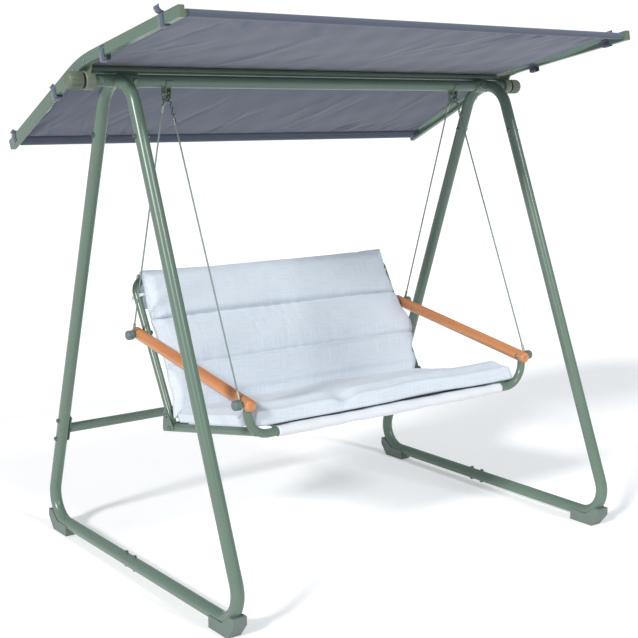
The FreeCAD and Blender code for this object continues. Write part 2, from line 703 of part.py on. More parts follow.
def back_frame():
    """The back's tube, one upside-down U, with a welded pad behind each armrest's end."""
    start, end = on_stile(8.0), on_stile(BACK_LENGTH)
    points = [at(-STILE_X, start), at(-STILE_X, end), at(STILE_X, end), at(STILE_X, start)]
    shape = bent_tube(points, BACK_FRAME_BEND, SEAT_TUBE_RADIUS)
    outer = STILE_X + SEAT_TUBE_RADIUS
    tab = strap_plate(REAR_BOLT, TAB_END, 10.0, outer - BRACKET_PLATE, outer)
    bore = bent_rod(points, BACK_FRAME_BEND, SEAT_TUBE_RADIUS - TUBE_WALL)
    tab = tab.cut(bore)
    shape = shape.fuse(tab).fuse(mirrored(tab))
    shape = shape.cut(bent_rod(seat_frame_points(), SEAT_FRAME_BEND, SEAT_TUBE_RADIUS + 0.5))
    for side in (-1, 1):
        for yz in (REAR_BOLT, BRACKET_BOLTS[1]):
            shape = shape.cut(stile_drill(side, yz))
    return largest_solid(shape)


def seat_brackets():
    """The plates that bolt the back frame to the seat frame."""
    near = STILE_X + SEAT_TUBE_RADIUS
    shape = rounded_plate([on_rail(14.0), on_rail(-36.0), on_stile(60.0)], 10.0, near, near + BRACKET_PLATE)
    for yz in BRACKET_BOLTS:
        shape = shape.cut(rod(at(near - 1, yz), at(near + 10, yz), BOLT_RADIUS))
    return both_sides([shape])


def seat_bracket_bolts():
    outer = STILE_X + SEAT_TUBE_RADIUS + BRACKET_PLATE
    inner = STILE_X - SEAT_TUBE_RADIUS
    return both_sides(bolt(at(outer, yz), at(inner, yz), BOLT_RADIUS) for yz in BRACKET_BOLTS)


def across(yz_outline, half_width):
    """A prism across the bench, from a closed outline of (Y, Z) points."""
    return side_plate(yz_outline, -half_width, half_width)


def sleeve(centre, radius, bore, half_width):
    """A fabric tube round a bar."""
    return ring(at(-half_width, centre), at(half_width, centre), radius, bore)


def cloth_run(start, start_radius, end, end_radius, thickness, half_width):
    """One stretched panel: a thin prism tangent to the top of two bars."""
    along = Vector(0, end[0] - start[0], end[1] - start[1]).normalize()
    up = Vector(0, -along.z, along.y)
    outline = []
    for centre, radius in ((start, start_radius), (end, end_radius)):
        outline.append((centre[0] + up.y * radius, centre[1] + up.z * radius))
    for centre, radius in ((end, end_radius), (start, start_radius)):
        reach = radius + thickness
        outline.append((centre[0] + up.y * reach, centre[1] + up.z * reach))
    return across(outline, half_width)


def seat_sling():
    """The cloth under the seat cushion, sewn into a sleeve at each end."""
    bore = SEAT_TUBE_RADIUS + 0.2
    rear_bar = on_rail(-REAR_BAR_OFFSET)
    laid = bore + 0.4
    shape = cloth_run(FRONT_RAIL, laid, rear_bar, laid, SLING_CLOTH, SLING_HALF_WIDTH)
    for bar, outer in ((FRONT_RAIL, SEAT_TUBE_RADIUS + SLING_FRONT_SLEEVE), (rear_bar, bore + SLING_CLOTH)):
        shape = shape.fuse(sleeve(bar, outer, bore, SLING_HALF_WIDTH))
    for bar in (FRONT_RAIL, rear_bar):
        shape = shape.cut(rod(at(-600, bar), at(600, bar), bore))
    return largest_solid(shape.removeSplitter())


def back_sling():
    """The cloth behind the back cushion, hung from the top bar."""
    low = SEAT_TUBE_RADIUS + 0.2
    high = low + SLING_CLOTH
    half_width = STILE_X - BACK_FRAME_BEND - 10.0
    outline = [on_stile(40, low), on_stile(BACK_LENGTH, low)]
    outline += [on_stile(BACK_LENGTH, high), on_stile(40, high)]
    sheet = across(outline, half_width)
    return sheet.fuse(sleeve(on_stile(BACK_LENGTH), high, low, half_width))


def soft_block(outline, half_width, rounding):
    """A padded block: a prism with its long edges rounded."""
    shape = across(outline, half_width)
    long_edges = [edge for edge in shape.Edges if edge.Length > 1.9 * half_width]
    return shape.makeFillet(rounding, long_edges)


def seat_cushion():
    low, high = SEAT_PAD_LAYER
    ahead = BACK_PAD_LAYER[1] + 0.5
    face = on_stile(0.0, ahead)
    rear_low = line_crossing(on_rail(0.0, low), SEAT_FORWARD, face, BACK_UP)
    rear_high = line_crossing(on_rail(0.0, high), SEAT_FORWARD, face, BACK_UP)
    outline = [rear_low, on_rail(SEAT_PAD_FRONT, low), on_rail(SEAT_PAD_FRONT, high), rear_high]
    return soft_block(outline, SEAT_PAD_HALF_WIDTH, 12.0)


def back_cushion():
    low, high = BACK_PAD_LAYER
    base = 20.0
    outline = [on_stile(base, low), on_stile(base, high),
               on_stile(BACK_PAD_TOP, high), on_stile(BACK_PAD_TOP, low)]
    return soft_block(outline, BACK_PAD_HALF_WIDTH, 12.0)


# ---------------------------------------------------------------- canopy
def arm_outline(half_height):
    """The canopy arm's side view: straight, a long bend, straight."""
    edges = []
    points = [at(ARM_INNER_X, yz) for yz in (ARM_FRONT, ARM_VERTEX, ARM_REAR)]
    sides = []
    for sign in (-1, 1):
        first = (points[1] - points[0]).normalize()
        second = (points[2] - points[1]).normalize()
        lift_first = Vector(0, -first.z, first.y) * (sign * half_height)
        lift_second = Vector(0, -second.z, second.y) * (sign * half_height)
        turn = first.getAngle(second)
        reach = ARM_BEND * math.tan(turn / 2)
        centre = points[1] - first * reach + Vector(0, first.z, -first.y) * ARM_BEND
        arc_start = points[1] - first * reach + lift_first
        arc_end = points[1] + second * reach + lift_second
        arc_middle = centre + (points[1] - centre).normalize() * (ARM_BEND + sign * half_height)
        sides.append((points[0] + lift_first, arc_start, arc_middle, arc_end, points[2] + lift_second))
    for tip, arc_start, arc_middle, arc_end, far_tip in sides:
        edges.append([Part.makeLine(tip, arc_start), Part.Arc(arc_start, arc_middle, arc_end).toShape(),
                      Part.makeLine(arc_end, far_tip)])
    closing = [Part.makeLine(sides[0][4], sides[1][4]), Part.makeLine(sides[1][0], sides[0][0])]
    return Part.Face(Part.Wire(Part.__sortEdges__(edges[0] + edges[1] + closing)))


RIVET_RADIUS = 3.0


def rivet_points():
    return [(y, arm_height(y) - 3.0) for y in (18.0, 94.0)]


def canopy_arm():
    """A bent rectangular tube that carries one side of the canopy."""
    outer = arm_outline(ARM_HEIGHT / 2).extrude(Vector(ARM_WIDTH, 0, 0))
    inner = arm_outline(ARM_HEIGHT / 2 - TUBE_WALL).extrude(Vector(ARM_WIDTH - 2 * TUBE_WALL, 0, 0))
    inner.translate(Vector(TUBE_WALL, 0, 0))
    shape = outer.cut(inner)
    for yz in rivet_points():
        shape = shape.cut(rod(at(ARM_INNER_X - 5, yz), at(ARM_INNER_X + 30, yz), RIVET_RADIUS))
    return shape


def tip_block(tip, inward, x_low, x_high, half_height, start, end):
    """A block along the arm's end, from start to end beyond the tip."""
    side = Vector(0, -inward.z, inward.y)
    base = at(x_low, tip)
    corners = [base - inward * start - side * half_height, base - inward * end - side * half_height,
               base - inward * end + side * half_height, base - inward * start + side * half_height]
    face = Part.Face(Part.makePolygon(corners + corners[:1]))
    return face.extrude(Vector(x_high - x_low, 0, 0))


def arm_end_caps():
    """Plastic plugs in the open ends of the arms."""
    caps = []
    vertex = at(0, ARM_VERTEX)
    for tip in (ARM_FRONT, ARM_REAR):
        inward = (vertex - at(0, tip)).normalize()
        head = tip_block(tip, inward, ARM_INNER_X, ARM_INNER_X + ARM_WIDTH, ARM_HEIGHT / 2, 0.0, 5.0)
        head = head.makeFillet(2.0, [edge for edge in head.Edges if cap_outer_edge(edge, tip, inward)])
        body = tip_block(tip, inward, ARM_INNER_X + TUBE_WALL, ARM_INNER_X + ARM_WIDTH - TUBE_WALL,
                         ARM_HEIGHT / 2 - TUBE_WALL, -14.0, 0.0)
        caps.append(head.fuse(body))
    return both_sides(caps)


def cap_outer_edge(edge, tip, inward):
    """True for the edges of a cap's outer face."""
    depth = (edge.CenterOfMass - at(edge.CenterOfMass.x, tip)).dot(inward)
    return abs(depth + 5.0) < 0.01


def canopy_hub():
    """The turning boss on the stud, with its plate riveted to the inside of the arm."""
    boss = rod(at(HUB_INNER_X, AXIS), at(HUB_OUTER_X, AXIS), HUB_RADIUS)
    boss = round_end(boss, at(HUB_OUTER_X, AXIS), 4.0)
    plate = rounded_plate([AXIS, (12.0, 1675.0), (104.0, 1648.0)], 11.0, ARM_INNER_X - PLATE, ARM_INNER_X)
    bore = rod(at(HUB_INNER_X - 5, AXIS), at(HUB_OUTER_X + 5, AXIS), STUD_RADIUS + 0.08)
    shape = boss.fuse(plate).cut(bore)
    for yz in rivet_points():
        shape = shape.cut(rod(at(ARM_INNER_X - 10, yz), at(ARM_INNER_X + 10, yz), RIVET_RADIUS))
    return shape.cut(ridge_screw()).removeSplitter()


def arm_rivets():
    inner = ARM_INNER_X - PLATE
    outer = ARM_INNER_X + ARM_WIDTH
    rivets = []
    for yz in rivet_points():
        shape = rod(at(inner, yz), at(outer, yz), RIVET_RADIUS)
        for near, far in ((inner, inner - 2.5), (outer, outer + 2.5)):
            shape = shape.fuse(round_end(rod(at(near, yz), at(far, yz), 5.5), at(far, yz), 2.0))
        rivets.append(shape)
    return both_sides(rivets)


def friction_washers():
    start, end = at(HUB_OUTER_X, AXIS), at(KNOB_INNER_X - 0.3, AXIS)
    return both_sides([ring(start, end, 24.0, STUD_RADIUS + 0.5)])


def canopy_knob():
    """The fluted hand knob that clamps the canopy's tilt."""
    shape = rod(at(KNOB_INNER_X, AXIS), at(KNOB_OUTER_X, AXIS), KNOB_RADIUS)
    shape = round_end(shape, at(KNOB_OUTER_X, AXIS), KNOB_DOME)
    flutes = 12
    for number in range(flutes):
        angle = 2 * math.pi * number / flutes
        reach = KNOB_RADIUS + 3.0
        yz = (AXIS[0] + reach * math.cos(angle), AXIS[1] + reach * math.sin(angle))
        shape = shape.cut(rod(at(KNOB_INNER_X + 8, yz), at(KNOB_OUTER_X + 5, yz), 5.0))
    return shape.cut(rod(at(KNOB_INNER_X - 1, AXIS), at(967.0, AXIS), STUD_RADIUS + 0.05))


def ridge_bar():
    inner = ARM_INNER_X - PLATE
    return ring(at(-inner, RIDGE_BAR), at(inner, RIDGE_BAR), RIDGE_RADIUS, RIDGE_RADIUS - TUBE_WALL)


def ridge_screw():
    """A countersunk screw, flush with the outside of a hub plate."""
    inner = ARM_INNER_X - PLATE
    head = Part.makeCone(RIVET_RADIUS, 2 * RIVET_RADIUS, PLATE, at(inner, RIDGE_BAR), Vector(1, 0, 0))
    return head.fuse(rod(at(inner - 14, RIDGE_BAR), at(inner, RIDGE_BAR), RIVET_RADIUS)).removeSplitter()


def ridge_screws():
    """The plugs in the ridge bar's ends, each with its screw through the hub plate."""
    inner = ARM_INNER_X - PLATE
    plug = rod(at(inner - 18, RIDGE_BAR), at(inner, RIDGE_BAR), RIDGE_RADIUS - TUBE_WALL)
    return both_sides([plug.fuse(ridge_screw()).removeSplitter()])


def edge_bar(centre):
    bore = EDGE_BAR_RADIUS - TUBE_WALL
    return ring(at(-ARM_INNER_X, centre), at(ARM_INNER_X, centre), EDGE_BAR_RADIUS, bore)


def canopy_fabric():
    """The roof cloth: a sleeve on each edge bar, pulled tight over the ridge bar."""
    edge = EDGE_BAR_RADIUS + 0.2
    ridge = RIDGE_RADIUS + 0.2
    shape = cloth_run(FRONT_BAR, edge, RIDGE_BAR, ridge, CANOPY_CLOTH, CANOPY_HALF_WIDTH)
    shape = shape.fuse(cloth_run(RIDGE_BAR, ridge, REAR_BAR, edge, CANOPY_CLOTH, CANOPY_HALF_WIDTH))
    over_ridge = sleeve(RIDGE_BAR, ridge + CANOPY_CLOTH, ridge, CANOPY_HALF_WIDTH)
    corner = Vector(-CANOPY_HALF_WIDTH, RIDGE_BAR[0] - 4, RIDGE_BAR[1])
    top = Part.makeBox(2 * CANOPY_HALF_WIDTH, 16, 30, corner)
    shape = shape.fuse(over_ridge.common(top))
    for bar in (FRONT_BAR, REAR_BAR):
        shape = shape.fuse(sleeve(bar, edge + CANOPY_CLOTH, edge, CANOPY_HALF_WIDTH))
        shape = shape.cut(rod(at(-ARM_INNER_X, bar), at(ARM_INNER_X, bar), edge))
    shape = shape.cut(rod(at(-ARM_INNER_X, RIDGE_BAR), at(ARM_INNER_X, RIDGE_BAR), ridge))
    return largest_solid(shape.removeSplitter())


def canopy_straps():
    """Cloth loops, sewn to the roof's sides, that hold it to the arms."""
    half_length = 14.0
    straps = []
    for y in STRAP_POSITIONS:
        far = ARM_FRONT if y < ARM_VERTEX[0] else ARM_REAR
        along = (at(0, far) - at(0, ARM_VERTEX)).normalize()
        up = Vector(0, -along.z, along.y)
        middle = at(0, (y, arm_height(y)))
        blocks = []
        for gap, x_low in ((2.2, CANOPY_HALF_WIDTH), (0.2, ARM_INNER_X - 0.2)):
            x_high = ARM_INNER_X + ARM_WIDTH + gap
            reach = ARM_HEIGHT / 2 + gap
            corners = []
            for step, lift in ((-1, -1), (1, -1), (1, 1), (-1, 1)):
                offset = along * (step * half_length) + up * (lift * reach)
                corners.append(middle + offset + Vector(x_low, 0, 0))
            face = Part.Face(Part.makePolygon(corners + corners[:1]))
            blocks.append(face.extrude(Vector(x_high - x_low, 0, 0)))
        straps.append(blocks[0].cut(blocks[1]))
    return both_sides(straps)


# ---------------------------------------------------------------- write the parts
def solids_of(shapes):
    """Every solid of a shape or of a list of shapes."""
    if isinstance(shapes, (list, tuple)):
        return [solid for shape in shapes for solid in solids_of(shape)]
    return list(shapes.Solids)


def write(name, shapes):
    solids = solids_of(shapes)
    for solid in solids:
        if not solid.isValid() or solid.Volume <= 0:
            raise ValueError(name + " holds a bad solid")
    body = solids[0] if len(solids) == 1 else Part.makeCompound(solids)
    body.exportStep(os.path.join(PARTS_FOLDER, name + ".step"))


def write_pair(name, shapes):
    """A right-hand piece and its mirror image, as two sub-parts."""
    solids = solids_of(shapes)
    write("right_" + name, solids)
    write("left_" + name, [mirrored(solid) for solid in solids])


def main():
    os.makedirs(PARTS_FOLDER, exist_ok=True)

    # stand
    write_pair("upper_arch", upper_arch())
    write_pair("front_leg", front_leg())
    write_pair("rear_leg", rear_leg())
    write_pair("front_foot", foot(FRONT_SLOPE, FRONT_CORNER_Y))
    write_pair("rear_foot", foot(REAR_SLOPE, REAR_CORNER_Y))
    write("rear_crossbar", rear_crossbar())
    write("crossbar_bolts", crossbar_bolts())
    write("leg_joint_bolts", leg_joint_bolts())
    write("base_joint_bolts", base_joint_bolts())
    write("main_beam", main_beam())
    write("beam_saddles", both_sides([beam_saddle()]))
    write("saddle_bolts", saddle_bolts())
    write("pivot_studs", pivot_studs())
    write("end_collars", end_collars())
    write("collar_screws", collar_screws())
    write("hanger_brackets", hanger_brackets())
    write("hanger_pins", hanger_pins())

    # hanging seat
    front_line = (EYE_FRONT, FRONT_BOLT, FRONT_CHAIN_LINKS)
    rear_line = (EYE_REAR, REAR_BOLT, 1)
    write("hanger_plates", both_sides([hanger_plate()]))
    write("hanger_bushings", hanger_bushings())
    write("front_chains", both_sides(chain(*front_line)))
    write("rear_shackles", both_sides(chain(*rear_line)))
    write_pair("front_cable", cable(*front_line))
    write_pair("rear_cable", cable(*rear_line))
    write("cable_terminals", both_sides(terminals(*front_line) + terminals(*rear_line)))
    write_pair("armrest", armrest())
    write("armrest_screws", armrest_screws())
    write("cable_bolts", cable_bolts())
    write("armrest_knobs", armrest_knobs())
    write("front_u_rail", front_u_rail())
    write("seat_frame", seat_frame())
    write("back_frame", back_frame())
    write("seat_brackets", seat_brackets())
    write("seat_bracket_bolts", seat_bracket_bolts())
    write("seat_sling", seat_sling())
    write("back_sling", back_sling())
    write("seat_cushion", seat_cushion())
    write("back_cushion", back_cushion())

    # canopy
    write_pair("canopy_arm", canopy_arm())
    write("arm_end_caps", arm_end_caps())
    write_pair("canopy_hub", canopy_hub())
    write("arm_rivets", arm_rivets())
    write("friction_washers", friction_washers())
    write("ridge_bar", ridge_bar())
    write("ridge_screws", ridge_screws())
    write("front_canopy_bar", edge_bar(FRONT_BAR))
    write("rear_canopy_bar", edge_bar(REAR_BAR))
    write("canopy_fabric", canopy_fabric())
    write("canopy_straps", canopy_straps())
    write_pair("canopy_knob", canopy_knob())


main()
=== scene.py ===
# %% [markdown]
# # A canopy swing bench
# A two-seat bench hangs on four wire ropes under a stand of steel tube. A cloth roof on a tilting frame
# shades it. The steel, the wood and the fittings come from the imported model, in metres, with +Z up and
# +Y from the front to the back. This script gives them their finishes, and makes all that is soft:
# the roof, its straps, the slings, the cushions, the ropes and the ties.

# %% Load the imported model
import json
import math

import bpy
import numpy as np
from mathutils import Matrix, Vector


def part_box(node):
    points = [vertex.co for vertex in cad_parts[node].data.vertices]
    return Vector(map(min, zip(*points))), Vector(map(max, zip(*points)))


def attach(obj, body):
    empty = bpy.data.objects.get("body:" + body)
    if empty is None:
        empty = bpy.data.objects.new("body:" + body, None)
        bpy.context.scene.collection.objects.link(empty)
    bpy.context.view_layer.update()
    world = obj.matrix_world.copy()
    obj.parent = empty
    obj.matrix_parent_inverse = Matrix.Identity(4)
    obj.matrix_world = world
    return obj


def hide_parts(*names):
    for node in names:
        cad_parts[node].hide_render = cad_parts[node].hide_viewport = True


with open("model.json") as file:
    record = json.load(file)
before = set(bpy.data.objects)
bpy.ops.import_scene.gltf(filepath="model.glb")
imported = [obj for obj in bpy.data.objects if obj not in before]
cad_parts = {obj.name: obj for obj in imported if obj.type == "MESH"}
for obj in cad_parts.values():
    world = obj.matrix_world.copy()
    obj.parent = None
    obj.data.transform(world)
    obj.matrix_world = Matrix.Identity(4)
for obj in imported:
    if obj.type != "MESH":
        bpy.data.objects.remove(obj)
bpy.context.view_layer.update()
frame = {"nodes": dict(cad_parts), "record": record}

# %% [markdown]
# ## Sums on sockets
# A finish is a small sum: a base colour, plus streaks, times a weave. Blender writes each step of such a
# sum as a node. The class below wraps one socket, so that ordinary Python signs build those nodes, and
# the sum can be read on one line. A second class holds one finish, and one method of it makes any node.


# %% A socket that takes part in sums
class Value:
    """One number that changes over a surface."""

    def __init__(self, finish, socket):
        self.finish = finish
        self.socket = socket

    def maths(self, operation, first, second=0.0):
        return self.finish.node("ShaderNodeMath", {"operation": operation}, {0: first, 1: second})

    def __add__(self, other):
        return self.maths("ADD", self, other)

    def __sub__(self, other):
        return self.maths("SUBTRACT", self, other)

    def __rsub__(self, other):
        return self.maths("SUBTRACT", other, self)

    def __mul__(self, other):
        return self.maths("MULTIPLY", self, other)

    __radd__ = __add__
    __rmul__ = __mul__

    def sine(self):
        return self.maths("SINE", self)


# %% A finish and the one method that makes its nodes
class Finish:
    """A material under construction."""

    def __init__(self, name):
        self.material = bpy.data.materials.new(name)
        self.material.use_nodes = True
        self.tree = self.material.node_tree
        self.shader = self.tree.nodes["Principled BSDF"]

    def feed(self, socket, value):
        if isinstance(value, Value):
            self.tree.links.new(value.socket, socket)
        else:
            socket.default_value = value

    def node(self, kind, settings=None, inputs=None, output=0):
        made = self.tree.nodes.new(kind)
        for key, value in (settings or {}).items():
            setattr(made, key, value)
        for key, value in (inputs or {}).items():
            self.feed(made.inputs[key], value)
        return Value(self, made.outputs[output])

    def shade(self, values):
        for key, value in values.items():
            self.feed(self.shader.inputs[key], value)
        return self.material

    def place(self, turn=0.0, stretch=(1.0, 1.0, 1.0)):
        """Object coordinates, turned about X and then stretched."""
        source = self.node("ShaderNodeTexCoord", output="Object")
        turned = self.node("ShaderNodeMapping", inputs={"Vector": source, "Rotation": (turn, 0.0, 0.0)})
        return self.node("ShaderNodeMapping", inputs={"Vector": turned, "Scale": stretch})

    def weave_place(self, stretch=(1.0, 1.0, 1.0)):
        """Metres along the two threads of a cloth, from its own map."""
        source = self.node("ShaderNodeUVMap", {"uv_map": "weave"})
        return self.node("ShaderNodeMapping", inputs={"Vector": source, "Scale": stretch})

    def cloud(self, place, scale, detail=2.0):
        """Soft noise between 0 and 1."""
        return self.node("ShaderNodeTexNoise", inputs={"Vector": place, "Scale": scale, "Detail": detail})

    def between(self, factor, first, second):
        """A colour from first, at factor 0, to second, at factor 1."""
        inputs = {0: factor, 6: first, 7: second}
        return self.node("ShaderNodeMix", {"data_type": "RGBA"}, inputs, output=2)

    def relief(self, height, depth, strength=1.0):
        """A bump from a height between 0 and 1, that deep in metres."""
        inputs = {"Height": height, "Distance": depth, "Strength": strength}
        return self.node("ShaderNodeBump", inputs=inputs)


# %% [markdown]
# ## Colours
# A colour is easiest to name as it looks on a screen, with 0 to 255 for red, green and blue. Blender
# shades with light, so each value goes through the screen's curve first.


# %% Screen colours as light
def tint(red, green, blue, lift=1.0):
    """A colour for a socket, from its screen values; lift makes it lighter or darker."""
    shades = []
    for value in (red, green, blue):
        level = value / 255
        level = level / 12.92 if level <= 0.04045 else ((level + 0.055) / 1.055) ** 2.4
        shades.append(min(1.0, level * lift))
    return (*shades, 1.0)


# %% [markdown]
# ## Painted steel
# The tubes have a baked powder coat. Up close it is not quite flat, because the powder melts into soft
# dimples under a millimetre wide, like orange peel. From afar it varies a little in tone. Noise at those
# two scales gives both, and the satin shine comes from the shader's own roughness.


# %% Powder coat
def powder_coat(name, colour, roughness):
    finish = Finish(name)
    tone = finish.cloud(finish.place(), 5.0)
    dimples = finish.cloud(finish.place(), 900.0, 1.0)
    return finish.shade({
        "Base Color": finish.between(tone, tint(*colour, 0.92), tint(*colour, 1.08)),
        "Roughness": dimples * 0.06 + (roughness - 0.03),
        "Normal": finish.relief(dimples, 0.00012, 0.5),
    })


FRAME_GREEN = (94, 114, 101)
HUB_GREEN = (108, 120, 101)
paints = {
    "frame_paint": powder_coat("sage powder coat", FRAME_GREEN, 0.27),
    "hub_paint": powder_coat("olive powder coat", HUB_GREEN, 0.4),
}

# %% [markdown]
# ## Bare fasteners
# Bolts and rivets are zinc plated, or passivated to a dull green-grey. Plated steel is a metal to the
# shader, with fine scratches from the tool that turned it. Noise that is stretched across the bench, along
# the bolts, draws them.


# %% Plated steel
def plated_steel(name, colour, roughness):
    finish = Finish(name)
    scratches = finish.cloud(finish.place(stretch=(60.0, 900.0, 900.0)), 1.0)
    return finish.shade({
        "Base Color": finish.between(scratches, tint(*colour, 0.85), tint(*colour, 1.1)),
        "Metallic": 1.0,
        "Roughness": scratches * 0.12 + roughness,
        "Normal": finish.relief(scratches, 0.00005, 0.4),
    })


paints["zinc_steel"] = plated_steel("zinc plate", (148, 158, 152), 0.34)
paints["dark_steel"] = plated_steel("dulled steel", (118, 133, 123), 0.38)

# %% [markdown]
# ## Moulded parts
# Feet, knobs, end caps and bushings are moulded plastic, and the washers are rubber. The mould leaves a
# fine matt grain. Faint cloudiness in the colour shows that the pigment never mixes quite evenly.


# %% Moulded plastic
def moulded(name, colour, roughness, grain=700.0, specular=0.5):
    finish = Finish(name)
    pits = finish.cloud(finish.place(), grain, 2.0)
    pigment = finish.cloud(finish.place(), 30.0)
    return finish.shade({
        "Base Color": finish.between(pigment, tint(*colour, 0.9), tint(*colour, 1.1)),
        "Roughness": pits * 0.12 + (roughness - 0.06),
        "Specular IOR Level": specular,
        "Normal": finish.relief(pits, 0.00015, 0.6),
    })


paints["foot_plastic"] = moulded("grey foot plastic", (102, 114, 108), 0.6)
paints["knob_plastic"] = moulded("knob plastic", (92, 112, 111), 0.42)
paints["sage_plastic"] = moulded("sage knob plastic", (92, 103, 86), 0.5)
paints["nylon"] = moulded("natural nylon", (214, 211, 200), 0.5)
paints["rubber"] = moulded("washer rubber", (34, 36, 36), 0.75, 400.0, 0.3)
paints["cable_coat"] = moulded("rope coat", (112, 130, 124), 0.4, 500.0)

# %% [markdown]
# ## Varnished wood
# The armrests are turned from straight-grained hardwood. Grain is long streaks along the rail, so the
# coordinates are turned to the rail's slope and squeezed along it. A broad streak changes the tone, a fine
# one draws the pores, and a clear coat over both gives the soft gloss.

# %% Varnished wood
ARMREST_SLOPE = math.atan2(117.5, 676.0)


def varnished_wood(name, pale, deep):
    finish = Finish(name)
    bands = finish.cloud(finish.place(-ARMREST_SLOPE, (55.0, 2.2, 55.0)), 1.0, 3.0)
    pores = finish.cloud(finish.place(-ARMREST_SLOPE, (700.0, 14.0, 700.0)), 1.0, 2.0)
    figure = finish.node("ShaderNodeClamp", inputs={"Value": bands * 2.2 - 0.6})
    grain = finish.between(figure, tint(*deep), tint(*pale))
    return finish.shade({
        "Base Color": finish.between(pores * 0.45, grain, tint(*deep, 0.55)),
        "Roughness": pores * 0.2 + 0.36,
        "Coat Weight": 0.35,
        "Coat Roughness": 0.28,
        "Normal": finish.relief(pores, 0.0002, 0.5),
    })


paints["armrest_wood"] = varnished_wood("varnished hardwood", (222, 156, 104), (186, 116, 70))

# %% [markdown]
# ## Woven cloth
# All cloth here is a plain weave: each thread goes over one and under the next. The product of two
# sine waves makes that chessboard of bumps. Real yarn also varies in thickness, so long thin streaks run
# along both threads. The patterns read a map called weave, which holds metres along the cloth, so they
# follow every fold.


# %% Plain weave
def plain_weave(name, colour, thread, streak, roughness=0.85, fuzz=0.25):
    finish = Finish(name)
    turns = math.pi / thread
    along = finish.node("ShaderNodeSeparateXYZ", inputs={0: finish.weave_place()}, output="X")
    across = finish.node("ShaderNodeSeparateXYZ", inputs={0: finish.weave_place()}, output="Y")
    chessboard = (along * turns).sine() * (across * turns).sine() * 0.5 + 0.5
    warp = finish.cloud(finish.weave_place((12.0, 420.0, 1.0)), 1.0)
    weft = finish.cloud(finish.weave_place((420.0, 12.0, 1.0)), 1.0)
    yarn = (warp + weft) * 0.5
    mottle = finish.cloud(finish.weave_place(), 7.0)
    shade = (yarn - 0.5) * (streak * 4.0) + (mottle - 0.5) * 0.25 + (chessboard - 0.5) * 0.12 + 0.5
    return finish.shade({
        "Base Color": finish.between(shade, tint(*colour, 0.84), tint(*colour, 1.14)),
        "Roughness": roughness,
        "Sheen Weight": fuzz,
        "Sheen Roughness": 0.5,
        "Normal": finish.relief(chessboard * 0.3 + yarn * 0.8, 0.0004, 0.5),
    })


paints["canopy_cloth"] = plain_weave("slate canopy cloth", (77, 85, 102), 0.0011, 0.35)
paints["sling_cloth"] = plain_weave("white sling cloth", (214, 218, 222), 0.0012, 0.3)
paints["cushion_cloth"] = plain_weave("pale cushion cloth", (203, 211, 220), 0.0009, 0.5)
# The pale thread is a little darker than the cloth it sews. This is partly its own tone and partly painted
# shade for the thin dark line along each seam crease.
pale_thread_and_seam_shade = moulded("pale thread and painted seam shade", (196, 204, 212), 0.8)
thread_dark = moulded("slate thread", (86, 94, 110), 0.8)
tie_black = plain_weave("black tie tape", (40, 43, 44), 0.0012, 0.3)

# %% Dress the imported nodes
for part in frame["record"]["subparts"]:
    mesh = frame["nodes"][part["node"]].data
    mesh.materials.clear()
    mesh.materials.append(paints[part["material_slot"]])
print(len(frame["nodes"]), "nodes finished from", len(paints), "slots")

# %% [markdown]
# ## Lines that cloth follows
# Seen from the side, every cloth here is one line in the Y and Z plane: round a bar, straight to the next
# bar, and round that. The helpers below draw arcs and runs of such a line, and then space points evenly
# along it, so that the mesh has quads of one size and the map is true to length.


# %% Helpers for side-view lines
def unit(vector):
    return vector / np.linalg.norm(vector)


def left_of(direction):
    """A quarter turn from front-to-back towards up."""
    return np.array([-direction[1], direction[0]])


def arc_round(centre, radius, along, first, last, step=8.0):
    """Points of an arc. Angles, in degrees, go from along towards the side that is up."""
    count = max(2, int(abs(last - first) / step) + 1)
    points = []
    for angle in np.radians(np.linspace(first, last, count)):
        points.append(centre + radius * (math.cos(angle) * along + math.sin(angle) * left_of(along)))
    return points


def evenly(points, spacing):
    """The same line with points a fixed distance apart, and each one's distance from the start."""
    points = np.array(points)
    steps = np.linalg.norm(np.diff(points, axis=0), axis=1)
    reached = np.concatenate([[0.0], np.cumsum(steps)])
    count = int(round(reached[-1] / spacing)) + 1
    wanted = np.linspace(0.0, reached[-1], count)
    places = np.stack([np.interp(wanted, reached, points[:, axis]) for axis in (0, 1)], axis=1)
    return places, wanted


def upward(points):
    """The unit normal at each point of a line, on its left side."""
    slopes = np.gradient(points, axis=0)
    slopes = slopes / np.linalg.norm(slopes, axis=1)[:, None]
    return np.stack([-slopes[:, 1], slopes[:, 0]], axis=1)


def smooth_step(value, start, end):
    """0 before start, 1 after end, smooth in between."""
    share = np.clip((value - start) / (end - start), 0.0, 1.0)
    return share * share * (3 - 2 * share)


# %% [markdown]
# ## From points to a mesh
# A cloth is a grid of points: rows along its line and columns across the bench. One helper turns such a
# grid into quads with the weave map, another finishes a piece: it gets a material and a body to ride on.


# %% Mesh helpers
def new_piece(name, points, faces, flats=None, smooth=True):
    """A mesh object. flats holds one (u, v) in metres for each corner of each face."""
    mesh = bpy.data.meshes.new(name)
    mesh.from_pydata(np.asarray(points, float).tolist(), [], np.asarray(faces).tolist())
    if flats is not None:
        layer = mesh.uv_layers.new(name="weave")
        layer.data.foreach_set("uv", np.asarray(flats, np.float32).ravel())
    mesh.polygons.foreach_set("use_smooth", [smooth] * len(mesh.polygons))
    mesh.update()
    piece = bpy.data.objects.new(name, mesh)
    bpy.context.scene.collection.objects.link(piece)
    return piece


def grid_faces(rows, columns, closed=False):
    """Quads of a grid, numbered row by row. A closed grid joins its last row to its first."""
    numbers = np.arange(rows * columns).reshape(rows, columns)
    if closed:
        numbers = np.vstack([numbers, numbers[:1]])
    corners = [numbers[:-1, :-1], numbers[:-1, 1:], numbers[1:, 1:], numbers[1:, :-1]]
    return np.stack(corners, axis=-1).reshape(-1, 4)


